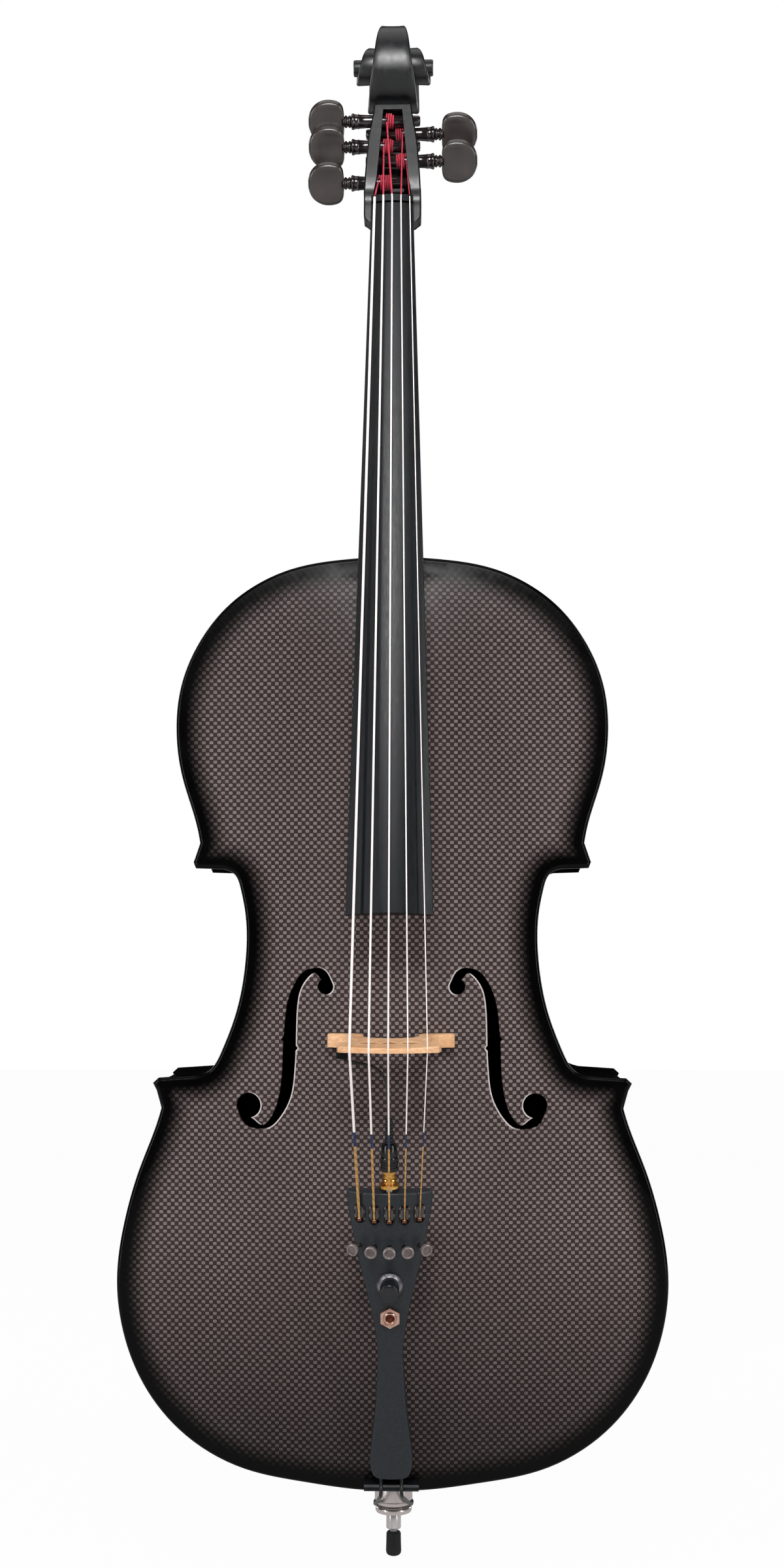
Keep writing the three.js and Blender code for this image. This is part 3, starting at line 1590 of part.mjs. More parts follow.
function tailCordPiece() {
  const nose = edgeFront - seat - saddle.depth - seat - tailCord.radius;
  const height = saddle.high - saddle.low;
  const strand = (side) => [
    tailPoint(side * tailCord.spread, tail.depth * tailCord.boreShare, tailCord.inTail),
    tailPoint(side * tailCord.spread, tail.depth * tailCord.boreShare, -tailCord.radius),
    new THREE.Vector3(side * tailCord.spread, nose, saddle.high - height / 2),
    new THREE.Vector3(side * tailCord.spread, nose, saddle.low + height / 5),
    ...strandPlaces.map(([x, y, z]) => new THREE.Vector3(side * x, y, z)),
  ];
  const around = endpin.grooveRadius + seat + tailCord.radius;
  const level = (endpin.collarLow + endpin.grooveLow) / 2;
  const bend = [];
  for (let i = 0; i <= tailCord.bendSteps; i += 1) {
    const angle = (Math.PI * i) / tailCord.bendSteps;
    bend.push(new THREE.Vector3(around * Math.cos(angle), around * Math.sin(angle), level));
  }
  return tube([...strand(1), ...bend, ...strand(-1).reverse()], tailCord.radius, tailCord.sides);
}

// Endpin

function endpinPlug() {
  const top = body.bottom + inside.endBlockHeight + overrun;
  const collarTop = body.bottom + body.overhang - seat;
  const bore = endpin.rodRadius + running;
  return turned([
    [bore, endpin.grooveLow],
    [endpin.grooveRadius, endpin.grooveLow],
    [endpin.grooveRadius, endpin.collarLow],
    [endpin.flangeRadius, endpin.collarLow],
    [endpin.flangeRadius, collarTop - endpin.collarEdge],
    [endpin.flangeRadius - endpin.collarEdge, collarTop],
    [endpin.plugRadius, collarTop],
    [endpin.plugRadius - endpin.plugTaper, top],
    [bore, top],
    [bore, endpin.grooveLow],
  ], 18);
}

function clampNut() {
  const bore = endpin.rodRadius + endpin.nutPlay;
  const high = endpin.grooveLow - seat;
  const edge = endpin.nutEdge;
  return turned([
    [bore, endpin.nutLow],
    [endpin.nutRadius - edge, endpin.nutLow],
    [endpin.nutRadius, endpin.nutLow + edge],
    [endpin.nutRadius, high - edge],
    [endpin.nutRadius - edge, high],
    [bore, high],
    [bore, endpin.nutLow],
  ], 18);
}

function endpinRod() {
  const edge = endpin.rodEdge;
  return turned([
    [0, endpin.neckLow],
    [endpin.neckRadius, endpin.neckLow],
    [endpin.neckRadius, endpin.ferruleLow],
    [endpin.rodRadius, endpin.ferruleLow],
    [endpin.rodRadius, endpin.rodTop - edge],
    [endpin.rodRadius - edge, endpin.rodTop],
    [0, endpin.rodTop],
  ], 20);
}

function endpinFerrule() {
  const bore = endpin.rodRadius + seat;
  return turned([
    [bore, endpin.ferruleLow],
    [endpin.ferruleRadius, endpin.ferruleLow],
    [endpin.ferruleRadius, endpin.ferruleHigh - endpin.rodEdge],
    [bore + seat, endpin.ferruleHigh],
    [bore, endpin.ferruleHigh],
    [bore, endpin.ferruleLow],
  ], 20);
}

function endpinTip() {
  const bore = endpin.neckRadius + seat;
  const floor = endpin.neckLow - seat;
  const edge = endpin.tipEdge;
  return turned([
    [0, 0],
    [endpin.tipRadius - edge, 0],
    [endpin.tipRadius, edge],
    [endpin.tipRadius, endpin.tipTop - edge / 2],
    [endpin.tipRadius - edge / 2, endpin.tipTop],
    [bore, endpin.tipTop],
    [bore, floor],
    [0, floor],
  ], 20);
}

// Assembly

const cello = new THREE.Group();
cello.name = 'electric_cello';
cello.add(
  piece('top_plate', topPlate(), materials.carbon),
  piece('back_plate', backPlate(), materials.gloss),
  piece('rib_garland', ribGarland(), materials.gloss),
  piece('neck_block', neckBlock(), materials.spruce),
  piece('end_block', endBlock(), materials.spruce),
  piece('sound_post', soundPost(), materials.spruce),
  piece('bass_bar', bassBar(), materials.spruce),
  piece('neck_scroll', neckScroll(), materials.satin),
  piece('bridge', bridgePiece(), materials.maple),
  piece('pickup', pickupPiece(), materials.plastic),
  piece('pickup_lead', pickupLead(), materials.plastic),
  piece('saddle', saddlePiece(), materials.ebony),
  piece('tail_cord', tailCordPiece(), materials.plastic),
  piece('endpin_plug', endpinPlug(), materials.darkNickel),
  piece('endpin_clamp_nut', clampNut(), materials.nickel),
  piece('endpin_rod', endpinRod(), materials.steel),
  piece('endpin_ferrule', endpinFerrule(), materials.nickel),
  piece('endpin_tip', endpinTip(), materials.rubber),
);

cello.add(neckFrame);
neckFrame.add(
  piece('fingerboard', fingerboard(), materials.ebony),
  piece('nut', nutPiece(), materials.ebony),
);
pegList.forEach((peg, i) => neckFrame.add(pegMesh(peg, i), windingMesh(peg, i)));
strings.radii.forEach((_, i) => cello.add(piece(`string_${i + 1}`, stringPiece(i), materials.steel)));

cello.add(tailFrame);
tailFrame.add(
  piece('tailpiece', tailpiece(), materials.tailpiece),
  piece('tuner_pivot_pin', pivotPin(), materials.nickel),
  standing('volume_knob', volumeKnob(), materials.plastic, 0, fromTop(volume.drop)),
  standing('volume_pot', volumePot(), materials.nickel, 0, fromTop(volume.drop)),
  standing('output_jack', outputJack(), materials.nickel, 0, fromTop(jack.drop)),
  standing('jack_nut', jackNut(), materials.nickel, 0, fromTop(jack.drop)),
);
strings.radii.forEach((_, i) => {
  const out = slotOut(i);
  tailFrame.add(
    standing(`tuner_screw_${i + 1}`, tunerScrew(i), materials.nickel, out, fromTop(tuner.screwDrop)),
    standing(`tuner_knob_${i + 1}`, tunerKnob(), materials.darkNickel, out, fromTop(tuner.screwDrop)),
    piece(`tuner_lever_${i + 1}`, tunerLever(i), materials.nickel),
  );
});

cello.add(plugFrame);
plugFrame.add(
  piece('pickup_socket', pickupSocket(), materials.nickel),
  piece('pickup_plug', pickupPlug(), materials.gold),
);

export default cello;
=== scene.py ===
# A five-string electric cello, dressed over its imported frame.
# Shapes are worked out in millimetres in the frame's own axes and written in metres.
import math
from types import SimpleNamespace as Sizes

import bmesh
import bpy
import numpy as np
from mathutils import Matrix, Vector
from mathutils.geometry import delaunay_2d_cdt
from mathutils.kdtree import KDTree


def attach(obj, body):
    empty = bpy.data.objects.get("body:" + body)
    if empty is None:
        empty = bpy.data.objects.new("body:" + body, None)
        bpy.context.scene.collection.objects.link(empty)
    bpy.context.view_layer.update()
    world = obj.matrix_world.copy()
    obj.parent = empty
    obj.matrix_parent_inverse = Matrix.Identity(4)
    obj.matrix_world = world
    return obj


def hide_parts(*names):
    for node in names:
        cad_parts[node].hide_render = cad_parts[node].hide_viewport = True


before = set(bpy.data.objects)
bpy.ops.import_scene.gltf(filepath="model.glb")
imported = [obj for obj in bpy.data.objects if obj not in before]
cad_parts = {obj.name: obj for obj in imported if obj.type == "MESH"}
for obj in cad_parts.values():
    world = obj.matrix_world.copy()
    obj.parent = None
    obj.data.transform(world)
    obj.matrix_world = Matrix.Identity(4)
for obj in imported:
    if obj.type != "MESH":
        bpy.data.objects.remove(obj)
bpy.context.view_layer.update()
MM = 0.001

# Dimensions in millimetres and degrees; curves are in shares of a width, a length or a depth
SEAT = 0.3
BODY = Sizes(bottom=71.5, length=755, upper=350, waist=236, lower=447, ribs=120, rib=2.5, overhang=3.5,
             plate=4.5, arch=22, border=12, power=0.5)
LOWER_BOUT = [(0.107, 0), (0.318, 0.008), (0.535, 0.0217), (0.774, 0.0637), (0.917, 0.1197), (0.983, 0.1758),
              (1, 0.2245), (0.972, 0.2878), (0.918, 0.3438), (0.847, 0.3999), (0.8376, 0.4097)]
LOWER_CORNER = [(0.855, 0.4285), (0.8685, 0.4364), (0.848, 0.4419)]
WAIST = [(1.345, 0.4446), (1.26, 0.4495), (1.173, 0.4699), (1.072, 0.5119), (1.007, 0.5679),
         (1.006, 0.6159), (1.04, 0.645), (1.086, 0.661), (1.162, 0.666)]
UPPER_CORNER = [(0.909, 0.6669), (0.9206, 0.6735), (0.914, 0.6775)]
UPPER_BOUT = [(0.8897, 0.694), (0.9006, 0.7079), (0.9714, 0.7639), (1, 0.82), (0.9789, 0.862),
              (0.8714, 0.9181), (0.7731, 0.9461), (0.6103, 0.974), (0.4686, 0.9881), (0.137, 1)]
LOWER_CHORD = [(0.881, 0.3719), (1.173, 0.4699)]
UPPER_CHORD = [(1.027, 0.638), (0.9006, 0.7079)]
F_HOLE = Sizes(length=129, out=85, height=358.5)
F_OUTER = [(-0.295, 0.395), (-0.253, 0.475), (-0.187, 0.499), (-0.089, 0.457), (-0.01, 0.299),
           (0.018, 0.078), (0.031, -0.205), (0.069, -0.385), (0.14, -0.482), (0.202, -0.45)]
F_INNER = [(0.313, -0.38), (0.26, -0.481), (0.155, -0.507), (0.063, -0.463), (-0.028, -0.307),
           (-0.056, -0.081), (-0.066, 0.239), (-0.096, 0.381), (-0.171, 0.468), (-0.221, 0.426)]
F_EYES = [(-0.248, 0.384, 6.3), (0.238, -0.361, 9.8)]
F_NICKS = [(0.02, 0.052), (-0.059, -0.001)]
NICK = (1.8, 2.2)
NECK = Sizes(nut=1118.5, setback=-41.5, tilt=8.9, at_nut=21, at_heel=25, mortise=7.5, side=0.8,
             roundness=0.8, heel_taper=0.38)
HEEL = [(0, 1), (0.03, 0.95), (0.06, 0.76), (0.1, 0.44), (0.15, 0.18), (0.22, 0.05), (0.32, 0), (1, 0)]
BOARD = Sizes(length=590, at_nut=34.3, at_end=68.3, edge=5, radius=64, flat=0.36, hollow=4)
HEEL_BUTTON = 15.5
NUT = Sizes(length=5.6, above=2)
STRINGS = Sizes(nut=7.2, bridge=14.85, radii=[1.05, 0.85, 0.7, 0.55, 0.42], band=71.5, tail=60,
                band_thicker=0.12, tail_thicker=0.08, ball_half=1.7, ball_bore=0.8)
BRIDGE = Sizes(height=437, span=101.6, foot=28.6, foot_height=5, crown=77.4, top=172.07, radius=64,
               thick=11, thin=3.8, depth=83, crown_height=433.4, hole_out=0.42, hole_up=0.62,
               oval=(7.5, 5), heart=(6.5, 7))
BRIDGE_FLANK = [(0.98, 0.1), (0.83, 0.2), (0.8, 0.3), (0.68, 0.42), (0.7, 0.55), (0.98, 0.6), (1.04, 0.68),
                (1, 0.8)]
BRIDGE_ARCH = [(0.5, 0.06), (0.42, 0.2), (0.25, 0.3), (0, 0.33)]
TAIL = Sizes(height=85, front=-82.5, tilt=13.75, length=243.405, flare=119.31, flare_share=0.515, shell=3.4,
             wall=1.7, radius=52, depth=13, flat=0.6, drop=1.7, end_wall=8, slope=5, solid=40, width=67.2,
             bow=0.1)
TAIL_SHARES = [(0, 0.28), (0.012, 0.43), (0.06, 0.507), (0.153, 0.452), (0.268, 0.363), (0.438, 0.301),
               (0.515, 0.336), (0.606, 0.449), (0.7, 0.61), (0.772, 0.741), (0.87, 0.88), (0.935, 0.967),
               (1, 1)]
TUNER = Sizes(spacing=11.7, low=217.105, high=233.105, width=8, screw=199.005, stand=9.5, knob=4.9, thick=3.6,
              fork=223.405, above=2.2, ball=1.9, hole=1.95)
VOLUME_HEIGHT, VOLUME_HOLE = 168.205, 4.8
JACK_HEIGHT, JACK_HOLE = 141.005, 5.5
PLUG_PLACE = (0, -134.129, 325.526)
PLUG_TILT = 12
LEAD = [(-34, -149.47, 425.3), (-32.52, -148.5, 424.66), (-30.91, -147.57, 424.06),
        (-28.32, -146.5, 423.47), (-25.5, -145.57, 422.95), (-22.76, -144.83, 422.41),
        (-19.89, -144.26, 421.79), (-16.11, -143.84, 420.97), (-12.41, -143.65, 419.75),
        (-9.45, -143.68, 417.96), (-6.9, -143.87, 415.66), (-4.75, -144.23, 412.76),
        (-3.09, -144.66, 409.45), (-1.96, -145.08, 405.58), (-1.29, -145.45, 401.5),
        (-1.07, -145.73, 397.37), (-0.99, -145.92, 393.01), (-0.47, -146.09, 386.9), (0, -145.9, 380.89),
        (0.04, -145.18, 376.98), (0, -144.28, 373.29)]
LEAD_RADIUS = 1.1
PEGBOX = Sizes(chin=23.5, front=-3, at_nut=30, low=8.5, high=84, mouth=16, mouth_high=24, half_low=13.1,
               half_high=7.9, floor_low=25.5, floor_high=24.5, slope=0.3, top=88)
BOX_SHARES = [(-0.15, 0.88, 0, 0.6), (-0.11, 0.99, 0, 0.78), (0, 1, 0, 0.95), (0.08, 1, 0, 0.98),
              (0.17, 0.99, -0.1, 1), (0.65, 0.86, -0.1, 1.06), (1, 0.66, -0.1, 1.03)]
THROAT_SHARES = [(1, 0.66, 0.1, 1.03), (1.12, 0.6, 0.3, 1.17), (1.28, 0.55, 0.6, 1.37),
                 (1.49, 0.51, 0.95, 1.5)]
BOX_CHAMFER = [(0, 2), (0.6, 1.2), (1, 0.5), (1.5, 0.12), (2, 0)]
VOLUTE = Sizes(back=14, height=131, eye=6.6, eye_half=33.3, inner=0.8, soft=1.5, flute=0.06)
VOLUTE_RADII = [31, 31.8, 34.5, 38, 26, 16.6, 15.8, 14.4, 11, 6.8]
VOLUTE_HALVES = [12, 8.8, 14.2, 21, 21, 19.8, 25.8, 30.6, 31, 31]
PEGS = [  # side, height, depth, string, turns, start, step
    (-1, 26.004, 10.5, 0, 5, -11.104, 1), (1, 46.2, 12.501, 4, 4, 10.6, -1),
    (-1, 59.004, 11.799, 1, 4, -7.6, 1), (1, 71.808, 15, 3, 3, 8, -1), (-1, 78.399, 6, 2, 3, -5.2, 1)]
PEG = Sizes(tilt=35, at_head=5.2, at_tip=4.2, barrel=5.7, end=34.2, collar=6.4, ring=1.6, neck=3.9, bead=5.1,
            start=40.5, width=29.5, height=35, thick=11, dish=2.8, tip=1.5, play=0.45)
HEAD_SHARES = [(0, 0.34, 0.5, 0), (0.03, 0.68, 0.72, 0.3), (0.14, 0.9, 0.95, 0.8), (0.36, 1, 1, 1),
               (0.6, 0.97, 1, 0.8), (0.8, 0.8, 0.98, 0.35), (0.93, 0.54, 0.8, 0), (1, 0.22, 0.4, 0)]
HEAD_ACROSS = [(-1, 0, 0), (-0.86, 0.8, 0), (-0.5, 1, 0.7), (0, 1, 1), (0.5, 1, 0.7), (0.86, 0.8, 0),
               (1, 0, 0)]
SILK = Sizes(radius=0.65, gap=0.53)
STRAND = [(8.6, -76, 70.6), (10.4, -58, 63.5), (13.4, -28, 51.8), (15, -13, 46.7)]
CORD = Sizes(spread=8.2, radius=1.5, bore=0.62, inside=22, height=45.1)
COLLAR_GROOVE = 13.6
SADDLE = Sizes(low=74.2, high=81.4, depth=12)
HALF_RIBS = BODY.ribs / 2
BODY_TOP = BODY.bottom + BODY.length

# Rows of points beside an edge and a hole's rim, in shares of their rounding
EDGE_STEPS = (0.03, 0.13, 0.3, 0.5, 0.74, 1)
RIM_STEPS = (0.3, 1, 1.5)
# The grid between them, in shares of its spacing
GRID_ROW = 0.87
GRID_CLEAR = 0.55
TINY = 1e-12
# Points closer than this are one, in metres
POINT_GAP = 1e-7
CARVED_GAP = 5e-6

# Cloth, windings, knurl and studio
CLOTH_CELL = 3.14
CLOTH_BLACK = "030303"
STRING_PITCH = 0.32
SILK_SLANT = 1.2
THREAD_PITCH = 5.2
KNURL_TEETH = 60.0
KNURL_SLANT = 3600.0
EDGE_REACH = 40
SKY_FILL = 0.32
WALL_RADIUS = 3300
WALL_RINGS = [(1, 1), (1, 2700), (0.45, 3900)]
FLOOR_HALF = 6000


# Curves and frames

def spline(points, steps):
    """A curve through the points, leaving each along the line between its neighbours."""
    p = np.asarray(points, float)
    last = len(p) - 1
    out = []
    for i in range(last):
        a, b, c, d = p[max(i - 1, 0)], p[i], p[i + 1], p[min(i + 2, last)]
        v0, v1 = (c - a) / 2, (d - b) / 2
        for t in np.arange(steps) / steps:
            cubic, square = 2 * b - 2 * c + v0 + v1, 3 * c - 3 * b - 2 * v0 - v1
            out.append(cubic * t ** 3 + square * t ** 2 + v0 * t + b)
    return np.array([*out, p[-1]])


def smooth(points, steps):
    """A natural cubic through unevenly spaced points, run by the lengths between them."""
    p = np.asarray(points, float)
    runs = np.linalg.norm(np.diff(p, axis=0), axis=1)
    n = len(p)
    left, right = np.eye(n), np.zeros_like(p)
    for i in range(1, n - 1):
        left[i, i - 1:i + 2] = runs[i - 1], 2 * (runs[i - 1] + runs[i]), runs[i]
        right[i] = 6 * ((p[i + 1] - p[i]) / runs[i] - (p[i] - p[i - 1]) / runs[i - 1])
    bend = np.linalg.solve(left, right)
    out = []
    for i, run in enumerate(runs):
        for b in np.arange(steps) / steps:
            a = 1 - b
            curve = ((a ** 3 - a) * bend[i] + (b ** 3 - b) * bend[i + 1]) * run ** 2 / 6
            out.append(a * p[i] + b * p[i + 1] + curve)
    return np.array([*out, p[-1]])


def turn(axis, degrees):
    return Matrix.Rotation(math.radians(degrees), 4, axis)


def move(x, y, z):
    return Matrix.Translation((x, y, z))


NECK_FRAME = move(0, NECK.setback, NECK.nut) @ turn("X", -NECK.tilt)
TAIL_FRAME = move(0, TAIL.front, TAIL.height) @ turn("X", TAIL.tilt)
PLUG_FRAME = move(*PLUG_PLACE) @ turn("X", PLUG_TILT)


def placed(points, matrix):
    m = np.array(matrix)
    return np.asarray(points, float) @ m[:3, :3].T + m[:3, 3]


def sink(x, radius):
    """How far an arc of that radius falls away from its crown at x."""
    return radius - np.sqrt(np.maximum(radius ** 2 - np.asarray(x, float) ** 2, 0))


def face_frame(out, height):
    """A frame on the tailpiece's face, with z away from it."""
    lean = math.degrees(math.asin(out / TAIL.radius))
    return TAIL_FRAME @ move(out, float(sink(out, TAIL.radius)), height) @ turn("Z", lean) @ turn("X", 90)


def across(i, spacing):
    """The place of string, tuner or slot i of five, counted from the middle one."""
    return (i - 2) * spacing


# Loops in a plane

def mirrored(right, *middle):
    return np.concatenate([right, *middle, (right * (-1, 1))[::-1]])


def oval(x, y, half_width, half_height, count):
    a = np.linspace(0, 2 * math.pi, count, endpoint=False)
    return np.stack([x + half_width * np.cos(a), y + half_height * np.sin(a)], axis=1)


def even(loop, spacing):
    """The same loop with its long sides divided."""
    out = []
    for a, b in zip(loop, np.roll(loop, -1, axis=0)):
        parts = max(1, math.ceil(np.linalg.norm(b - a) / spacing))
        out += [a + (b - a) * k / parts for k in range(parts)]
    return np.array(out)


def inside(points, loop):
    x, y = points[:, 0][:, None], points[:, 1][:, None]
    ax, ay = loop[:, 0], loop[:, 1]
    bx, by = np.roll(ax, -1), np.roll(ay, -1)
    crossing = (ay > y) != (by > y)
    with np.errstate(divide="ignore", invalid="ignore"):
        hit = crossing & (x < (bx - ax) * (y - ay) / (by - ay) + ax)
    return hit.sum(axis=1) % 2 == 1


def distance_to(points, loop, batch=2000):
    run = np.roll(loop, -1, axis=0) - loop
    size = np.maximum((run ** 2).sum(axis=1), TINY)
    found = np.empty(len(points))
    for start in range(0, len(points), batch):
        p = points[start:start + batch][:, None, :]
        t = np.clip(((p - loop) * run).sum(axis=2) / size, 0, 1)
        found[start:start + batch] = np.sqrt((((loop + t[..., None] * run) - p) ** 2).sum(axis=2)).min(axis=1)
    return found


def nearest(points, loops):
    return np.min([distance_to(points, loop) for loop in loops], axis=0)


def round_off(distance, radius):
    """How far a rounded edge falls away at that distance from it."""
    return radius - np.sqrt(radius ** 2 - np.clip(radius - distance, 0, radius) ** 2)


def unit(rows):
    return rows / np.maximum(np.linalg.norm(rows, axis=1), TINY)[:, None]


def inset(loop, distance):
    runs = (loop - np.roll(loop, 1, axis=0), np.roll(loop, -1, axis=0) - loop)
    return loop + unit(sum(unit(np.stack([-run[:, 1], run[:, 0]], axis=1)) for run in runs)) * distance


def winds(loop):
    x, y = loop.T
    return math.copysign(1, float(np.dot(x, np.roll(y, -1)) - np.dot(y, np.roll(x, -1))))


def both_ways(half):
    """A profile whose lower end is the mirror image of its upper end."""
    return [*((r, -x) for r, x in half), *half[::-1]]


# Solids, as points and faces

def lofted(rings, caps=True):
    count = len(rings[0])
    points = np.concatenate([np.asarray(ring, float) for ring in rings])
    faces = []
    for a in range(0, len(points) - count, count):
        for i in range(count):
            j = (i + 1) % count
            faces.append((a + i, a + j, a + count + j, a + count + i))
    if caps:
        faces.append(tuple(range(count))[::-1])
        faces.append(tuple(range(len(points) - count, len(points))))
    return points, faces


def together(*parts):
    points, faces, count = [], [], 0
    for p, f in parts:
        points.append(p)
        faces += [tuple(i + count for i in face) for face in f]
        count += len(p)
    return np.concatenate(points), faces


def lathe(profile, sides, matrix=Matrix.Identity(4)):
    """Turns a profile of (radius, height) that ends on the axis or where it began."""
    rings = []
    for k in range(sides):
        a = 2 * math.pi * k / sides
        rings.append([(r * math.cos(a), r * math.sin(a), z) for r, z in profile])
    count = len(profile)
    faces = []
    for a in range(0, sides * count, count):
        b = (a + count) % (sides * count)
        faces += [(a + i, b + i, b + i + 1, a + i + 1) for i in range(count - 1)]
    return placed(np.concatenate(rings), matrix), faces


def tube(points, radius, sides):
    p = np.asarray(points, float)
    tangents = np.gradient(p, axis=0)
    tangents /= np.linalg.norm(tangents, axis=1)[:, None]
    up = Vector((0, 0, 1)) if abs(tangents[0][2]) < 0.9 else Vector((1, 0, 0))
    side = Vector(tangents[0]).cross(up).normalized()
    rings = []
    for at, t in zip(p, tangents):
        t = Vector(t)
        side = (side - t * side.dot(t)).normalized()
        other = t.cross(side)
        rings.append([Vector(at) + (side * math.cos(a) + other * math.sin(a)) * radius
                      for a in (2 * math.pi * k / sides for k in range(sides))])
    return lofted(rings)


def sheet(outer, holes, spacing, edge, front, back, zones=(), rim=0.0):
    """A solid from a flat outline, between front(points, from edge, from hole) and back(points, zone).
    zones are loops inside the outline; a triangle's zone is the number of the last loop that holds it."""
    loops = [outer] + [inset(outer, edge * s) for s in EDGE_STEPS] + list(zones)
    if rim:
        loops += [inset(hole, -winds(hole) * rim * s) for hole in holes for s in RIM_STEPS]
    loops += holes
    fixed = np.concatenate(loops)
    edges, start = [], 0
    for n in map(len, loops):
        edges += [(start + i, start + (i + 1) % n) for i in range(n)]
        start += n
    low, high = outer.min(axis=0), outer.max(axis=0)
    grid = []
    for k, y in enumerate(np.arange(low[1] + spacing / 2, high[1], spacing * GRID_ROW)):
        grid += [(x, y) for x in np.arange(low[0] + spacing / 2 * (k % 2), high[0], spacing)]
    grid = np.array(grid)
    tree = KDTree(len(fixed))
    for i, (x, y) in enumerate(fixed):
        tree.insert((x, y, 0), i)
    tree.balance()
    grid = [p for p in grid[inside(grid, outer)] if tree.find((*p, 0))[2] > spacing * GRID_CLEAR]
    found = delaunay_2d_cdt([Vector(p) for p in (*fixed, *grid)], edges, [], 0, 1e-5)
    flat = np.array([tuple(v) for v in found[0]])
    faces = np.array(found[2])
    middle = flat[faces].mean(axis=1)
    keep = inside(middle, outer)
    for hole in holes:
        keep &= ~inside(middle, hole)
    faces, middle = faces[keep], middle[keep]
    zone = np.zeros(len(faces), int)
    for number, loop in enumerate(zones, 1):
        zone[inside(middle, loop)] = number
    away = distance_to(flat, outer)
    points = [front(flat, away, nearest(flat, holes) if rim else away)]
    out = [tuple(f) for f in faces]
    offset = [len(flat) * (number + 1) for number in range(len(zones) + 1)]
    for number, first in enumerate(offset):
        points.append(back(flat, number))
        out += [tuple(first + i for i in f[::-1]) for f in faces[zone == number]]
    owner = {}
    for f, z in zip(faces, zone):
        for a, b in ((f[0], f[1]), (f[1], f[2]), (f[2], f[0])):
            owner.setdefault((min(a, b), max(a, b)), []).append((a, b, z))
    for held in owner.values():
        a, b, z = held[0]
        if len(held) == 1:
            out.append((a, offset[z] + a, offset[z] + b, b))
        elif held[1][2] != z:
            other = offset[held[1][2]]
            out.append((offset[z] + a, offset[z] + b, other + b, other + a))
    used = np.unique(np.concatenate(out))
    points = np.concatenate(points)
    renumber = -np.ones(len(points), int)
    renumber[used] = np.arange(len(used))
    return points[used], [tuple(renumber[list(f)]) for f in out], used, flat, away


# Objects

def linked(name, data):
    obj = bpy.data.objects.new(name, data)
    bpy.context.scene.collection.objects.link(obj)
    return obj


def make_mesh(name, points, faces):
    mesh = bpy.data.meshes.new(name)
    mesh.from_pydata((np.asarray(points, float) * MM).tolist(), [], [list(map(int, f)) for f in faces])
    return mesh


def merge(mesh, gap, carved=False):
    """Joins points closer than gap. A carved mesh also loses slivers and pinholes; others turn outward."""
    work = bmesh.new()
    work.from_mesh(mesh)
    bmesh.ops.remove_doubles(work, verts=work.verts, dist=gap)
    if carved:
        bmesh.ops.dissolve_degenerate(work, edges=work.edges, dist=gap)
        bmesh.ops.holes_fill(work, edges=[edge for edge in work.edges if edge.is_boundary], sides=8)
    else:
        bmesh.ops.recalc_face_normals(work, faces=work.faces)
    work.to_mesh(mesh)
    work.free()


def hidden(name, shape):
    """An object that is no piece: a cutting tool or a part of the studio."""
    mesh = make_mesh(name, *shape)
    merge(mesh, POINT_GAP)
    return linked(name, mesh)


def paint(obj, material):
    obj.data.materials.clear()
    obj.data.materials.append(material)


def rounding(obj, width, segments=2):
    made = obj.modifiers.new("edges", "BEVEL")
    made.width = width * MM
    made.segments = segments
    made.limit_method = "ANGLE"
    made.angle_limit = math.radians(35)
    made.harden_normals = True
    made.use_clamp_overlap = True


def dressed(obj, material, body, replaces, slot, sharp=35, bevel=0.0):
    mesh = obj.data
    mesh.polygons.foreach_set("use_smooth", [True] * len(mesh.polygons))
    mesh.set_sharp_from_angle(angle=math.radians(sharp))
    paint(obj, material)
    if bevel:
        rounding(obj, bevel)
    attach(obj, body)
    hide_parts(*replaces)
    return obj


def piece(name, points, faces, material, body, replaces, slot, sharp=35, bevel=0.0):
    mesh = make_mesh(name, points, faces)
    mesh.validate()
    merge(mesh, POINT_GAP)
    return dressed(linked(name, mesh), material, body, replaces, slot, sharp, bevel)


def fixed_piece(name, shape, material, replaces, slot, **more):
    """A piece on the instrument itself, for one CAD node."""
    return piece(name, *shape, material, "instrument", [replaces], slot, **more)


def keep_values(mesh, name, values):
    """Stores a value per point, for the material to read."""
    layer = mesh.attributes.new(name, "FLOAT", "POINT")
    layer.data.foreach_set("value", values.astype(np.float32))


# Materials

def rgb(code):
    parts = [int(code[i:i + 2], 16) / 255 for i in (0, 2, 4)]
    return tuple(c / 12.92 if c <= 0.04045 else ((c + 0.055) / 1.055) ** 2.4 for c in parts) + (1.0,)


class Nodes:
    """Adds nodes to a tree. An input goes by its name, or by an underscore and its number."""

    def __init__(self, tree):
        self.tree = tree

    def give(self, socket, value):
        if isinstance(value, bpy.types.NodeSocket):
            self.tree.links.new(value, socket)
        else:
            socket.default_value = rgb(value) if isinstance(value, str) else value

    def add(self, kind, output=0, settings=(), **inputs):
        node = self.tree.nodes.new(kind)
        for key, value in dict(settings).items():
            setattr(node, key, value)
        for key, value in inputs.items():
            self.give(node.inputs[int(key[1:]) if key[0] == "_" else key.replace("_", " ")], value)
        return node.outputs[output]

    def math(self, operation, a, b=0.0):
        return self.add("ShaderNodeMath", settings={"operation": operation}, _0=a, _1=b)

    def wave(self, value, pitch):
        return self.math("SINE", self.math("MULTIPLY", value, 2 * math.pi / (pitch * MM)))

    def spread(self, value, low, high, to_low=0.0, to_high=1.0, kind="LINEAR"):
        return self.add("ShaderNodeMapRange", settings={"interpolation_type": kind}, Value=value,
                        From_Min=low, From_Max=high, To_Min=to_low, To_Max=to_high)

    def mix(self, share, a, b):
        return self.add("ShaderNodeMix", output=2, settings={"data_type": "RGBA"}, _0=share, _6=a, _7=b)

    def blend(self, value, dark, light, low=0.3, high=0.7):
        return self.mix(self.spread(value, low, high), dark, light)

    def stored(self, name):
        return self.add("ShaderNodeAttribute", output="Fac", settings={"attribute_name": name})


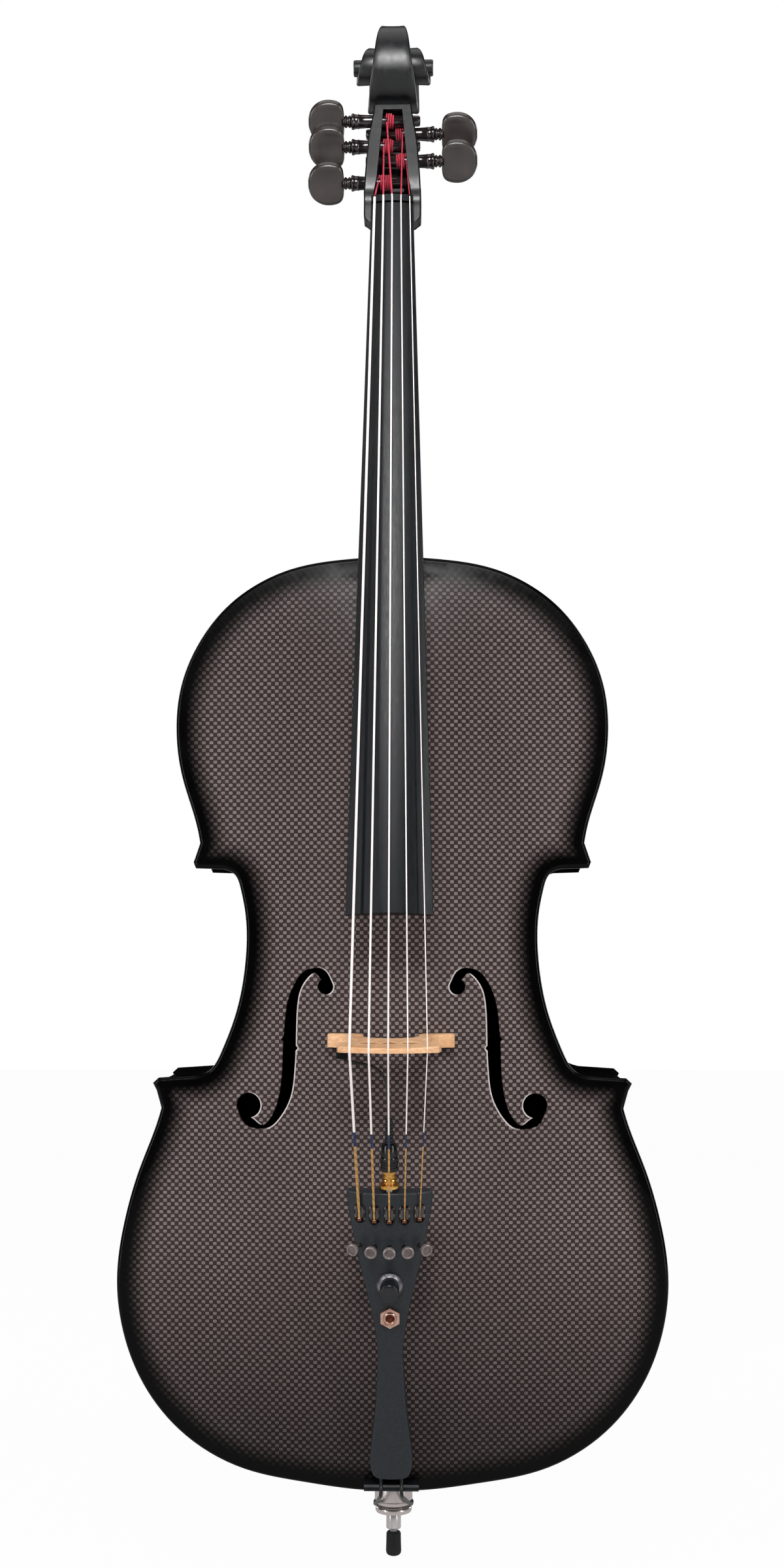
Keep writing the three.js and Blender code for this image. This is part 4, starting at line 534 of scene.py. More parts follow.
class Finish(Nodes):
    """A Principled material with its own small node tree."""

    def __init__(self, name, roughness=0.5, metallic=0.0, specular=0.5, coat=0.0, coat_roughness=0.1,
                 sheen=0.0):
        self.material = bpy.data.materials.new(name)
        self.material.use_nodes = True
        super().__init__(self.material.node_tree)
        self.shader = self.tree.nodes["Principled BSDF"]
        self.set("Roughness", roughness)
        self.set("Metallic", metallic)
        self.set("Specular IOR Level", specular)
        self.set("Coat Weight", coat)
        self.set("Coat Roughness", coat_roughness)
        self.set("Sheen Weight", sheen)
        self.place = self.add("ShaderNodeTexCoord", output="Object")

    def set(self, name, value):
        self.give(self.shader.inputs[name], value)

    def axes(self):
        return self.add("ShaderNodeSeparateXYZ", Vector=self.place).node.outputs[:3]

    def stretched(self, stretch):
        return self.add("ShaderNodeMapping", Vector=self.place, Scale=stretch)

    def noise(self, scale, stretch=(1, 1, 1), detail=4.0):
        return self.add("ShaderNodeTexNoise", Vector=self.stretched(stretch), Scale=scale, Detail=detail,
                        Roughness=0.55)

    def colour(self, value):
        self.set("Base Color", value)

    def rough(self, value, low, high):
        self.set("Roughness", self.spread(value, 0.3, 0.7, low, high))

    def bump(self, height, strength, distance):
        made = self.add("ShaderNodeBump", Height=height, Strength=strength, Distance=distance * MM)
        self.set("Normal", made)


def plain(name, dark, light, rough, scale, bump, stretch=(1, 1, 1), distance=0.1, edge_wear_and_highlight=None, **more):
    made = Finish(name, **more)
    broad = made.noise(scale, stretch)
    fine = made.noise(scale * 5, stretch, detail=2)
    colour = made.blend(broad, dark, light, 0.32, 0.68)
    # Sharp convex edges turn lighter: partly wear and partly a painted highlight.
    if edge_wear_and_highlight:
        edge_wear_and_highlight_share = made.spread(made.add("ShaderNodeNewGeometry", output="Pointiness"), 0.52, 0.6)
        colour = made.mix(edge_wear_and_highlight_share, colour, edge_wear_and_highlight)
    made.colour(colour)
    made.rough(fine, *rough)
    made.bump(made.math("ADD", broad, fine), bump, distance)
    return made.material


def carbon_finish():
    """Checks of light and dark thread, going black toward the plate's edge and both ends of the body, with a
    painted highlight line along one rim of each f-hole.
    """
    made = Finish("carbon_weave", specular=0.07, coat=0.1, coat_roughness=0.04)
    x, _, z = made.axes()
    wave_z = made.wave(z, 2 * CLOTH_CELL)
    weave = made.math("MULTIPLY", made.wave(x, 2 * CLOTH_CELL), wave_z)
    light = made.math("MULTIPLY", made.spread(weave, 0.0, 0.16),
                      made.spread(made.math("ABSOLUTE", wave_z), 0.12, 0.5))
    warp = made.blend(made.noise(900, (0.12, 1, 1.6), detail=2), "6f6260", "8f8180")
    weft = made.blend(made.noise(900, (1.6, 1, 0.12), detail=2), "2e2827", "403836")
    cloth = made.mix(light, weft, warp)
    cloth = made.mix(made.spread(made.noise(9, detail=2), 0.3, 0.7, 0.0, 0.1), cloth, "3c3433")
    ends = made.math("ADD", made.spread(z, 0.11, 0.29, 0.62, 0.0), made.spread(z, 0.6, 0.79, 0.0, 0.38))
    edge = made.stored("edge")
    cloth = made.mix(made.spread(edge, 0.175, 0.71, kind="SMOOTHSTEP"), CLOTH_BLACK,
                     made.mix(ends, cloth, CLOTH_BLACK))
    # Painted highlight: where "line" is stored, a pale streak runs along one rim of each f-hole.
    made.colour(made.mix(made.stored("line"), cloth, "d8d0ce"))
    made.set("Coat Weight", made.math("MULTIPLY", made.spread(edge, 0.2, 0.36, 0.1, 0.02),
                                      made.spread(z, 0.7, 0.79, 1.0, 0.06)))
    made.rough(made.noise(40), 0.22, 0.34)
    made.bump(weave, 0.12, 0.12)
    return made.material


def string_finish(name, dark, light):
    made = Finish(name, roughness=0.3, specular=0.6)
    turns = made.wave(made.axes()[2], STRING_PITCH)
    # Painted highlight and shade: each turn of the winding is lighter on its crest and darker between turns.
    tone = made.blend(turns, dark, light, -1, 1)
    made.colour(made.mix(made.spread(made.noise(90), 0.35, 0.65, 0.0, 0.35), tone, dark))
    made.rough(made.noise(300), 0.26, 0.4)
    made.bump(turns, 0.12, 0.03)
    return made.material


def thread_finish(name, dark, light, pitch, thread=None):
    """Wound silk, if asked with a thread of another colour running through it."""
    made = Finish(name, roughness=0.6, specular=0.3, sheen=0.2)
    x, _, z = made.axes()
    slant = made.math("ADD", z, made.math("MULTIPLY", x, SILK_SLANT))
    turns = made.wave(slant, pitch)
    colour = made.blend(made.noise(700), dark, light)
    if thread:
        colour = made.mix(made.spread(made.wave(slant, THREAD_PITCH), 0.93, 0.98), colour, thread)
    # Painted shade: a darker band runs along each turn of the silk, following its bump.
    made.colour(made.mix(made.spread(turns, -1, 1, 0.0, 0.35), colour, dark))
    made.rough(made.noise(400), 0.5, 0.75)
    made.bump(turns, 0.5, 0.08)
    return made.material


def knurl_finish(name, dark, light):
    made = Finish(name, roughness=0.3, metallic=0.85)
    x, y, z = made.axes()
    around = made.math("MULTIPLY", made.math("ARCTAN2", x, y), KNURL_TEETH)
    one = made.math("SINE", made.math("ADD", around, made.math("MULTIPLY", z, KNURL_SLANT)))
    # Painted highlight and shade: the teeth are lighter on their crests and darker in their grooves.
    made.colour(made.blend(one, dark, light, -1, 1))
    made.rough(made.noise(200), 0.2, 0.3)
    made.bump(one, 0.2, 0.08)
    return made.material


def wood_finish(name, dark, light, fleck, rough, stretch):
    made = Finish(name, specular=0.4)
    grain = made.noise(420, stretch, detail=5)
    broad = made.noise(45, stretch, detail=3)
    spots = made.add("ShaderNodeTexVoronoi", Vector=made.stretched(stretch), Scale=900.0)
    colour = made.blend(grain, dark, light)
    colour = made.mix(made.spread(broad, 0.35, 0.65, 0.0, 0.45), colour, fleck)
    colour = made.mix(made.spread(spots, 0.0, 0.22, 0.35, 0.0), colour, fleck)
    # Painted shade: where "inner" is stored (the bridge's hole walls) the wood turns dark brown.
    made.colour(made.mix(made.stored("inner"), colour, "7d4519"))
    made.rough(grain, *rough)
    made.bump(grain, 0.2, 0.1)
    return made.material


CARBON = carbon_finish()
GLOSS = plain("black_lacquer", "050506", "0c0c0d", (0.04, 0.1), 18, 0.03, distance=0.2, specular=0.3,
              coat=0.3, coat_roughness=0.03)
# Finishes with lighter sharp edges get them partly from wear and partly as a painted highlight.
SATIN = plain("satin_black", "060708", "0e0f12", (0.3, 0.4), 55, 0.05, edge_wear_and_highlight="191a1c", specular=0.6)
EBONY = plain("board_black", "0a0c0f", "14171b", (0.3, 0.42), 160, 0.1, (1.6, 1, 0.05), distance=0.06,
              specular=0.2)
PEG_WOOD = plain("peg_wood", "292322", "352e2c", (0.3, 0.36), 70, 0.015, specular=0.6, coat=0.5,
                 coat_roughness=0.24)
PEG_SHAFT = plain("peg_shaft", "120d0e", "241a1c", (0.1, 0.18), 140, 0.03, specular=0.9)
MAPLE = wood_finish("bridge_maple", "dfa272", "f7d2a8", "b97c48", (0.38, 0.55), (0.35, 1.6, 1.6))
SPRUCE = wood_finish("spruce", "c9a878", "e0c79c", "a98556", (0.6, 0.8), (1.8, 1.8, 0.1))
WOUND = string_finish("wound_steel", "ece0dd", "fdf8f6")
CRIMSON = thread_finish("crimson_silk", "a3122f", "ea2d50", 0.5)
NAVY = thread_finish("navy_silk", "101a38", "223163", 0.45)
YELLOW = thread_finish("yellow_silk", "a8793a", "d8a863", 0.45, thread="1a1512")
MATTE = plain("tailpiece_matte", "1c2023", "272b30", (0.36, 0.48), 500, 0.12, distance=0.08, edge_wear_and_highlight="383b3f",
              specular=0.4)
BUTTON = plain("knob_black", "08080a", "101114", (0.16, 0.26), 120, 0.04, edge_wear_and_highlight="2b2b31")
LEVER = plain("lever_black", "121214", "212123", (0.3, 0.42), 240, 0.06, edge_wear_and_highlight="3f3e40")
SKIRT = plain("knob_skirt", "918f95", "bdbbbf", (0.28, 0.38), 160, 0.03, metallic=1.0)
STEEL = plain("polished_steel", "cac4c3", "ebe7e6", (0.14, 0.24), 160, 0.03, (1, 1, 0.2), metallic=0.7)
NICKEL = plain("nickel", "a8a2a1", "d5cfce", (0.16, 0.28), 160, 0.04, metallic=1.0)
KNURL = knurl_finish("knurled_nickel", "b5a9a6", "fbf3f0")
KNOB_METAL = plain("tuner_metal", "5d5352", "7b706e", (0.28, 0.4), 260, 0.05, metallic=0.6, edge_wear_and_highlight="bdb4b2")
ROSE = plain("rose_metal", "c09280", "f2cbbb", (0.26, 0.38), 200, 0.03, metallic=1.0)
GOLD = plain("gold", "d99c48", "f8c874", (0.24, 0.36), 160, 0.03, metallic=1.0)
COPPER = plain("ball_copper", "5c3a2f", "8a5c46", (0.24, 0.36), 300, 0.04, metallic=0.8)
PLASTIC = plain("black_plastic", "0a0a0b", "141416", (0.18, 0.32), 220, 0.06)
RUBBER = plain("rubber", "0b0b0d", "16171a", (0.6, 0.8), 320, 0.25, distance=0.15)
CABLE = plain("cable_black", "0b0b0c", "19191b", (0.35, 0.5), 500, 0.15, distance=0.05)


# Camera, then the one cord

def make_camera():
    data = bpy.data.cameras.new("camera")
    data.sensor_fit = "VERTICAL"
    data.sensor_height = 36
    data.lens = 46.608
    data.shift_y = 0.0943
    data.clip_start = 0.05
    data.clip_end = 60
    camera = linked("camera", data)
    camera.location = (0.0412, -1.7049, 0.5235)
    camera.rotation_euler = (math.radians(90), 0, math.radians(1.43))
    bpy.context.scene.camera = camera


def pickup_lead():
    path = spline(LEAD, 4)
    points, faces = tube(path, LEAD_RADIUS, 14)
    lead = piece("pickup_cable", points, faces, CABLE, "instrument", ["pickup_lead"], "rubber")
    [v * MM for v in LEAD[0]]


# Body

def outline(steps):
    """The right half of the plates' outline, and how far out the arching reaches at each of its points."""
    half_lower, half_waist, half_upper = BODY.lower / 2, BODY.waist / 2, BODY.upper / 2

    def scaled(shares, width):
        return np.array(shares) * (width, BODY.length)

    bottom = scaled(LOWER_BOUT, half_lower)
    bout = smooth([bottom[0] * (-1, 1), *bottom], steps)
    right = np.concatenate([
        bout[bout[:, 0] > 1.5], scaled(LOWER_CORNER, half_lower),
        smooth(scaled(WAIST, half_waist), steps), scaled(UPPER_CORNER, half_upper),
        smooth(scaled(UPPER_BOUT, half_upper), steps)])
    core = right[:, 0].copy()
    for chord, low, high in ((LOWER_CHORD, half_lower, half_waist), (UPPER_CHORD, half_waist, half_upper)):
        (x0, z0), (x1, z1) = scaled(chord[:1], low)[0], scaled(chord[1:], high)[0]
        among = (right[:, 1] > z0) & (right[:, 1] < z1)
        core[among] = np.minimum(core, np.interp(right[:, 1], [z0, z1], [x0, x1]))[among]
    return right + (0, BODY.bottom), core


EDGE, CORE = outline(8)


def arch(x, z):
    core = np.interp(z, EDGE[:, 1], CORE)
    flat = core - np.minimum(BODY.border, core / 2)
    run = np.clip((z - BODY.bottom - BODY.border) / (BODY.length - 2 * BODY.border), 0, 1)
    cross = (1 + np.cos(math.pi * np.minimum(1, np.abs(x) / np.maximum(flat, 1)))) / 2
    return BODY.arch * np.sin(math.pi * run) ** BODY.power * cross


def f_hole_loops(side):
    def scale(points):
        return np.array([(side * (F_HOLE.out + x * F_HOLE.length),
                          BODY.bottom + F_HOLE.height + y * F_HOLE.length) for x, y in points])

    loops = [np.concatenate([spline(scale(F_OUTER), 6), spline(scale(F_INNER), 6)])]
    loops += [oval(*scale([eye[:2]])[0], eye[2], eye[2], 40) for eye in F_EYES]
    return loops + [oval(*centre, *NICK, 4) for centre in scale(F_NICKS)]


def plate(name, holes, loop, turned_back, material, replaces, slot):
    edge, rim = 3.6, 0.9 if holes else 0.0

    def level(flat, rise):
        y = -HALF_RIBS - arch(flat[:, 0], flat[:, 1]) - rise
        return np.stack([flat[:, 0], y, flat[:, 1]], axis=1)

    def front(flat, away, beside):
        return level(flat, BODY.plate - round_off(away, edge) - round_off(beside, rim))

    def back(flat, zone):
        return level(flat, 0)

    points, faces, used, flat, away = sheet(loop, holes, 7, edge, front, back, rim=rim)
    if turned_back:
        points = points * (-1, -1, 1)
    mesh = make_mesh(name, points, faces)
    at = used % len(flat)
    keep_values(mesh, "edge", np.clip(away[at] / EDGE_REACH, 0, 1))
    if holes:
        # Painted highlight: a pale line on the rim of each f-hole that faces away from the middle, stored as
        # "line".
        beside = nearest(flat, holes)
        nudge = 0.05
        slope = (nearest(flat + (nudge, 0), holes) - nearest(flat - (nudge, 0), holes)) / (2 * nudge)
        near = np.clip((1.25 * rim - beside) / (0.4 * rim), 0, 1)
        lit = near * np.clip(-2 * np.sign(flat[:, 0]) * slope - 0.2, 0, 1)
        keep_values(mesh, "line", lit[at] * (used < len(flat)))
    dressed(linked(name, mesh), material, "instrument", replaces, slot, sharp=42)


def top_and_back():
    plate("carbon_top", f_hole_loops(-1) + f_hole_loops(1), even(mirrored(EDGE), 3), False, CARBON,
          ["top_plate"], "front")
    angles = np.linspace(0, math.pi, 25)
    button = np.stack([HEEL_BUTTON * np.cos(angles), BODY_TOP + HEEL_BUTTON * np.sin(angles)], axis=1)
    plate("lacquer_back", [], even(mirrored(EDGE, button), 4), True, GLOSS, ["back_plate"], "gloss")


def rib_wall():
    outer = inset(mirrored(outline(6)[0]), BODY.overhang)
    inner = inset(outer, BODY.rib)
    corners = ((outer, -1), (outer, 1), (inner, 1), (inner, -1), (outer, -1))
    rings = [[(x, side * HALF_RIBS, z) for x, z in loop] for loop, side in corners]
    fixed_piece("lacquer_ribs", lofted(rings, caps=False), GLOSS, "rib_garland", "gloss", sharp=50)


# Neck, pegbox and scroll

def board_half(distance):
    return (BOARD.at_nut + (BOARD.at_end - BOARD.at_nut) * distance / BOARD.length) / 2


def glue_plane(z):
    return NECK.setback - (NECK.nut - z) * math.tan(math.radians(NECK.tilt))


def neck_shaft():
    length = NECK.nut - BODY_TOP
    heel_depth = HALF_RIBS - SEAT - glue_plane(BODY_TOP)
    heel_curve = spline(HEEL, 6)
    shares = [*np.linspace(0, 0.34, 36), *np.linspace(0.4, 0.97, 8)]
    rings = []
    for z in (BODY_TOP - NECK.mortise, *(BODY_TOP + length * s for s in shares)):
        share = max(0, (z - BODY_TOP) / length)
        half = board_half(NECK.nut - z) - NECK.side
        slim = NECK.at_heel + (NECK.at_nut - NECK.at_heel) * share
        heel = float(np.clip(np.interp(share, *heel_curve.T), 0, 1))
        depth = slim + (heel_depth - slim) * heel
        ring = []
        for a in (math.pi * i / 32 for i in range(33)):
            x = math.copysign(abs(math.cos(a)) ** NECK.roundness, math.cos(a))
            y = math.sin(a) ** NECK.roundness
            ring.append((half * x * (1 - NECK.heel_taper * heel * y), glue_plane(z) + depth * y, z))
        rings.append(ring)
    fixed_piece("neck_shaft", lofted(rings), SATIN, "neck_scroll", "neck", sharp=40)


def box_ring(half, front, back, height):
    corner, chamfer = 1.2, PEGBOX.at_nut / 7
    right = [(half - chamfer * a, back - chamfer * b) for a, b in BOX_CHAMFER]
    ring = [(-half, front + corner), (-half + corner, front), (half - corner, front), (half, front + corner)]
    return [(x, y, height) for x, y in (*ring, *right, *((-x, y) for x, y in reversed(right)))]


def box_part(shares, steps):
    rows = spline(shares, steps)
    rows[:, 0] = np.interp(np.arange(len(rows)) / steps, np.arange(len(shares)), np.array(shares)[:, 0])
    return lofted([box_ring(half * PEGBOX.chin, front * PEGBOX.at_nut, back * PEGBOX.at_nut, z * PEGBOX.top)
                   for z, half, front, back in rows])


def cavity():
    front = PEGBOX.front - 6

    def ring(half, floor, height, slope=0.0):
        right = [(half, front), (half, 0.8 * floor), (0.9 * half, 0.93 * floor), (0.7 * half, floor)]
        return [(x, y, height + slope * (y - PEGBOX.front))
                for x, y in ((-half, front), *right, *((-x, y) for x, y in right[:0:-1]))]

    return lofted([ring(PEGBOX.mouth, PEGBOX.floor_low, PEGBOX.low),
                   ring(PEGBOX.half_low, PEGBOX.floor_low, PEGBOX.mouth_high),
                   ring(PEGBOX.half_high, PEGBOX.floor_high, PEGBOX.high, PEGBOX.slope)])


def carve(shape, cutters, name):
    base = hidden(name, shape)
    unused = [base.data]
    for i, cutter in enumerate(cutters):
        tool = hidden(f"{name}_tool_{i}", cutter)
        made = base.modifiers.new("cut", "BOOLEAN")
        made.operation = "DIFFERENCE"
        made.solver = "EXACT"
        made.object = tool
        unused.append(tool.data)
    bpy.context.view_layer.update()
    mesh = bpy.data.meshes.new_from_object(base.evaluated_get(bpy.context.evaluated_depsgraph_get()))
    merge(mesh, CARVED_GAP, carved=True)
    base.modifiers.clear()
    base.data = mesh
    for old in unused:
        bpy.data.meshes.remove(old)
    mesh.name = name
    return base


def peg_radius(x):
    share = (x + PEGBOX.chin) / (2 * PEGBOX.chin)
    return PEG.at_tip + (PEG.at_head - PEG.at_tip) * np.clip(share, 0, 1)


def peg_hole(side, height, depth):
    reach = PEGBOX.chin + 6
    wall = [(peg_radius(x) + PEG.play, x) for x in (-reach, reach)]
    return lathe([(0, -reach), *wall, (0, reach)], 28, move(0, depth, height) @ turn("Y", 90 * side))


def pegbox():
    box = carve(box_part(BOX_SHARES, 4), [cavity(), *(peg_hole(*peg[:3]) for peg in PEGS)], "peg_box")
    for step in (Matrix.Scale(1 / MM, 4), NECK_FRAME, Matrix.Scale(MM, 4)):
        box.data.transform(step)
    dressed(box, SATIN, "instrument", ["neck_scroll"], "neck", sharp=30, bevel=0.3)


def scroll():
    steps, soft = 14, VOLUTE.soft
    radii, halves = spline(np.stack([VOLUTE_RADII, VOLUTE_HALVES], axis=1), steps).T
    rings = []
    for i, (outer, half) in enumerate(zip(radii, halves)):
        angle = (i / steps - 1) * math.pi / 2
        ahead = i + 4 * steps
        inner = radii[ahead] * VOLUTE.inner if ahead < len(radii) else VOLUTE.eye / 3
        flute = min(1.0, VOLUTE.flute * half)
        rim = [(inner, half - 1.2), (inner + (outer - inner) * 0.55, half - 1.4),
               (outer - 2 * soft, half - 0.25), (outer - soft, half), (outer - 0.4 * soft, half - 0.3 * soft),
               (outer, half - soft), (outer - flute * 0.5, half * 0.5)]
        section = both_ways(rim)
        section.insert(len(rim), (outer - flute * 0.6, 0))
        rings.append([(x, VOLUTE.back - r * math.sin(angle), VOLUTE.height + r * math.cos(angle))
                      for r, x in section])
    e, h = VOLUTE.eye, VOLUTE.eye_half
    eye = lathe(both_ways([(0, h), (e - 1.2, h), (e - 0.3, h - 0.4), (e, h - 1.4)]), 48,
                move(0, VOLUTE.back, VOLUTE.height) @ turn("Y", 90))
    points, faces = together(lofted(rings), eye, box_part(THROAT_SHARES, 5))
    fixed_piece("scroll_head", (placed(points, NECK_FRAME), faces), SATIN, "neck_scroll", "neck", sharp=38)


# Fingerboard, strings and pegs

def board_top(x, half):
    """The height of the board's face, with one flat facet along its bass side."""
    drop = float(sink(half, BOARD.radius))
    facet = -half + BOARD.flat * 2 * half
    facet_crown = drop - float(sink(facet, BOARD.radius))
    share = (x + half) / (facet + half)
    return BOARD.edge + np.where(x > facet, drop - sink(x, BOARD.radius), facet_crown * share)


def fingerboard():
    neck_length = NECK.nut - BODY_TOP
    x = np.linspace(-1, 1, 51)
    facet = -1 + BOARD.flat * 2
    x[np.argmin(np.abs(x - facet))] = facet
    rings = []
    for s in np.linspace(0, 1, 30):
        distance = SEAT + (BOARD.length - SEAT) * s
        half = board_half(distance)
        hollow = BOARD.hollow * min(1.0, max(0.0, (distance - neck_length) / 10))
        top = -board_top(x * half, half)
        under = -hollow * (1 - x ** 2) - SEAT
        rings.append([(a * half, b, -distance) for a, b in (*zip(x, top), *zip(x[::-1], under[::-1]))])
    points, faces = lofted(rings)
    fixed_piece("finger_board", (placed(points, NECK_FRAME), faces), EBONY, "fingerboard", "ebony", sharp=12,
                bevel=0.5)


def nut_point(i):
    x = across(i, STRINGS.nut)
    drop = float(sink(board_half(0), BOARD.radius) - sink(x, BOARD.radius))
    return np.array([x, -(BOARD.edge + drop + NUT.above), NUT.length / 2])


def wind_radius(side, x):
    return float(peg_radius(side * x)) + SEAT + SILK.radius


def tangent(peg):
    """Where a string meets its winding: the angle round the peg, the point and the way to the nut."""
    side, height, depth, string, _, start, _ = peg
    source = nut_point(string)
    radius = wind_radius(side, start)
    y, z = source[1] - depth, source[2] - height
    angle = math.atan2(y, z) + math.acos(radius / math.hypot(y, z))
    point = np.array([start, depth + radius * math.sin(angle), height + radius * math.cos(angle)])
    leave = source - point
    return angle, point, leave / np.linalg.norm(leave)


def winding(peg, number):
    side, height, depth, _, turns, start, step = peg
    angle, _, leave = tangent(peg)
    pitch = 2 * SILK.radius + SILK.gap
    around = []
    for t in (i / 28 for i in range(turns * 28 + 1)):
        x = start + step * pitch * t
        a = angle + 2 * math.pi * t
        r = wind_radius(side, x)
        around.append((x, depth + r * math.sin(a), height + r * math.cos(a)))
    around = np.array(around)
    last = around[-1] - around[-2]
    path = [around[0] + leave * 2 * SILK.radius, *around,
            around[-1] + last / np.linalg.norm(last) * 2 * SILK.radius]
    points, faces = tube(placed(path, NECK_FRAME), SILK.radius, 12)
    piece(f"silk_winding_{number}", points, faces, CRIMSON, f"peg_body_{number}", [f"winding_{number}"],
          "silk")


def peg_head():
    across_rows = spline(HEAD_ACROSS, 5)
    rings = []
    for along, height, thick, dish in spline(HEAD_SHARES, 6):
        half = height * PEG.height / 2
        z = PEG.start + along * PEG.width
        front = [(s * half, max(full, 0) * (thick * PEG.thick / 2 - low * dish * PEG.dish), z)
                 for s, full, low in across_rows]
        rings.append(front + [(x, -y, z) for x, y, z in reversed(front[1:-1])])
    return lofted(rings)


def peg_shaft():
    tip = -PEGBOX.chin + PEG.tip
    end, ring, barrel, collar = PEG.end, PEG.ring, PEG.barrel, PEG.collar
    thin, thick = float(peg_radius(tip)), float(peg_radius(-tip))
    step = (PEG.start - end) / 4
    profile = [(0, tip - 0.8), (thin - 1, tip - 0.6), (thin, tip + 0.6), (thick, -tip),
               (barrel - 0.2, end - 2 * ring - 3.2), (barrel + 0.25, end - 2 * ring - 2.6),
               (barrel - 0.1, end - 2 * ring - 2), (barrel, end - 2 * ring), (collar - 0.3, end - ring - 0.4),
               (collar, end - ring), (collar, end - 0.5), (collar - 0.5, end), (PEG.neck, end + 0.4)]
    for k in range(1, 17):
        wave = 0.5 - 0.5 * math.cos(math.pi * k / 4)
        profile.append((PEG.neck + (PEG.bead - PEG.neck) * wave * (0.9 if k < 12 else 1), end + step * k / 4))
    profile += [(PEG.bead, PEG.start + step), (0, PEG.start + 2 * step)]
    return lathe(profile, 48)


def pegs():
    parts = (("shaft", peg_shaft(), PEG_SHAFT, 50), ("head", peg_head(), PEG_WOOD, 60))
    for number, peg in enumerate(PEGS, 1):
        side, height, depth = peg[:3]
        lean = turn("X", PEG.tilt + NECK.tilt)
        frame_of = NECK_FRAME @ move(0, depth, height) @ lean @ turn("Y", 90 * side)
        for part, (points, faces), material, sharp in parts:
            piece(f"peg_{part}_{number}", placed(points, frame_of), faces, material, f"peg_body_{number}",
                  [f"peg_{number}"], "peg", sharp=sharp)
        winding(peg, number)


def string_points(i):
    """The string's start beside its winding, two points on the nut, the bridge's crown and the ball."""
    peg = next(p for p in PEGS if p[3] == i)
    _, point, leave = tangent(peg)
    radius = wind_radius(peg[0], peg[5])
    reach = radius + SILK.radius + STRINGS.radii[i] + 2 * SEAT
    top = nut_point(i)
    near = (top[0], top[1] + (top[2] + NUT.length / 8) * 0.02, -NUT.length / 8)
    x, out = across(i, STRINGS.bridge), across(i, TUNER.spacing)
    crown = np.array([x, -BRIDGE.top + float(sink(x, BRIDGE.radius)), BRIDGE.crown_height])
    ball = (out, float(sink(out, TAIL.radius)) - TUNER.above, TUNER.fork - TUNER.ball - SEAT)
    start = point + leave * math.sqrt(reach ** 2 - radius ** 2)
    return *placed([start, top, near], NECK_FRAME), crown, placed([ball], TAIL_FRAME)[0]


def strings():
    for i, radius in enumerate(STRINGS.radii):
        start, top, near, crown, ball = string_points(i)
        down = ball - crown
        long = np.linalg.norm(down)
        band_at, tail_at = 1 - STRINGS.band / long, 1 - STRINGS.tail / long
        stretch = near - crown
        wire = [start + (top - start) * 0.96, top + (near - top) * 0.1, near, near - stretch * 0.02,
                crown + stretch * 0.02, crown + stretch * 0.002, crown + down * 0.02, crown + down * 0.06,
                crown + down * (band_at + 0.01)]
        silk = [start, start + (top - start) * 0.965]
        band = [crown + down * band_at, crown + down * tail_at]
        tail = [crown + down * (tail_at - 0.4 / long), crown + down * (1 - 1.2 / long)]
        for part, path, thick, sides, material, slot, sharp in (
                ("silk", silk, min(radius, SILK.radius), 12, CRIMSON, "silk", 60),
                ("wire", wire, radius, 14, WOUND, "string", 35),
                ("band", band, radius + STRINGS.band_thicker, 14, NAVY, "silk", 60),
                ("tail", tail, radius + STRINGS.tail_thicker, 14, YELLOW, "silk", 60)):
            fixed_piece(f"string_{part}_{i + 1}", tube(path, thick, sides), material, f"string_{i + 1}", slot,
                        sharp=sharp)
        r, h, bore = TUNER.ball, STRINGS.ball_half, STRINGS.ball_bore
        profile = both_ways([(bore, h), (r - 0.4, h), (r, h - 0.4)])
        profile.insert(3, (r - 0.25, 0))
        end = lathe([*profile, (bore, -h)], 28, move(*ball) @ turn("Y", 90))
        fixed_piece(f"string_ball_{i + 1}", end, COPPER, f"string_{i + 1}", "gold")


# Bridge

def bridge():
    rise = BRIDGE.top - BRIDGE.depth
    half_span, half_crown = BRIDGE.span / 2, BRIDGE.crown / 2
    low = BRIDGE.height - BRIDGE.thick / 2
    edge, rim = 1.2, 1.1

    feet = np.linspace(half_span - BRIDGE.foot, half_span, 9)
    seats = HALF_RIBS + BODY.plate + arch(feet, np.full(len(feet), BRIDGE.height)) + SEAT - BRIDGE.depth
    crown = np.linspace(half_crown, 0, 24)[:-1]
    arch_line = (spline(BRIDGE_ARCH, 6) * (half_span, rise))[::-1]
    half = np.array([
        *arch_line[1:], *zip(feet, seats), (half_span, BRIDGE.foot_height - 1),
        (half_span - 0.8, BRIDGE.foot_height), *(spline(BRIDGE_FLANK, 6) * (half_crown, rise)),
        *zip(crown, rise - sink(crown, BRIDGE.radius))])
    loop = np.concatenate([arch_line[:1], mirrored(half, [(0, rise)])])

    a = np.linspace(0, 2 * math.pi, 48, endpoint=False)
    wide, high = BRIDGE.heart
    up = BRIDGE.hole_up * rise
    curve = 13 * np.cos(a) - 5 * np.cos(2 * a) - 2 * np.cos(3 * a) - np.cos(4 * a)
    heart = np.stack([wide * np.sin(a) ** 3, up + high / 16 * curve], axis=1)
    holes = [oval(side * BRIDGE.hole_out * half_crown, up, *BRIDGE.oval, 36) for side in (-1, 1)] + [heart]

    def level(flat, height):
        return np.stack([flat[:, 0], -BRIDGE.depth - flat[:, 1], height], axis=1)

    def front(flat, away, beside):
        thick = BRIDGE.thick + (BRIDGE.thin - BRIDGE.thick) * np.clip(flat[:, 1] / rise, 0, 1)
        bevel = 0.75 * np.clip(edge - away, 0, edge) + 0.8 * np.clip(rim - beside, 0, rim)
        return level(flat, low + thick - bevel)

    def back(flat, zone):
        return level(flat, np.full(len(flat), low))

    points, faces, *_ = sheet(loop, holes, 9, edge, front, back, rim=rim)
    mesh = fixed_piece("maple_bridge", (points, faces), MAPLE, "bridge", "bridge", sharp=30).data
    at = np.array([v.co for v in mesh.vertices]) / MM
    # Painted shade: the walls of the holes are stored as "inner" and turn darker brown.
    beside = nearest(np.stack([at[:, 0], -BRIDGE.depth - at[:, 1]], axis=1), holes)
    keep_values(mesh, "inner", np.clip(0.9 * (1 - beside / 0.4), 0, 1))


# Tailpiece and what stands on it

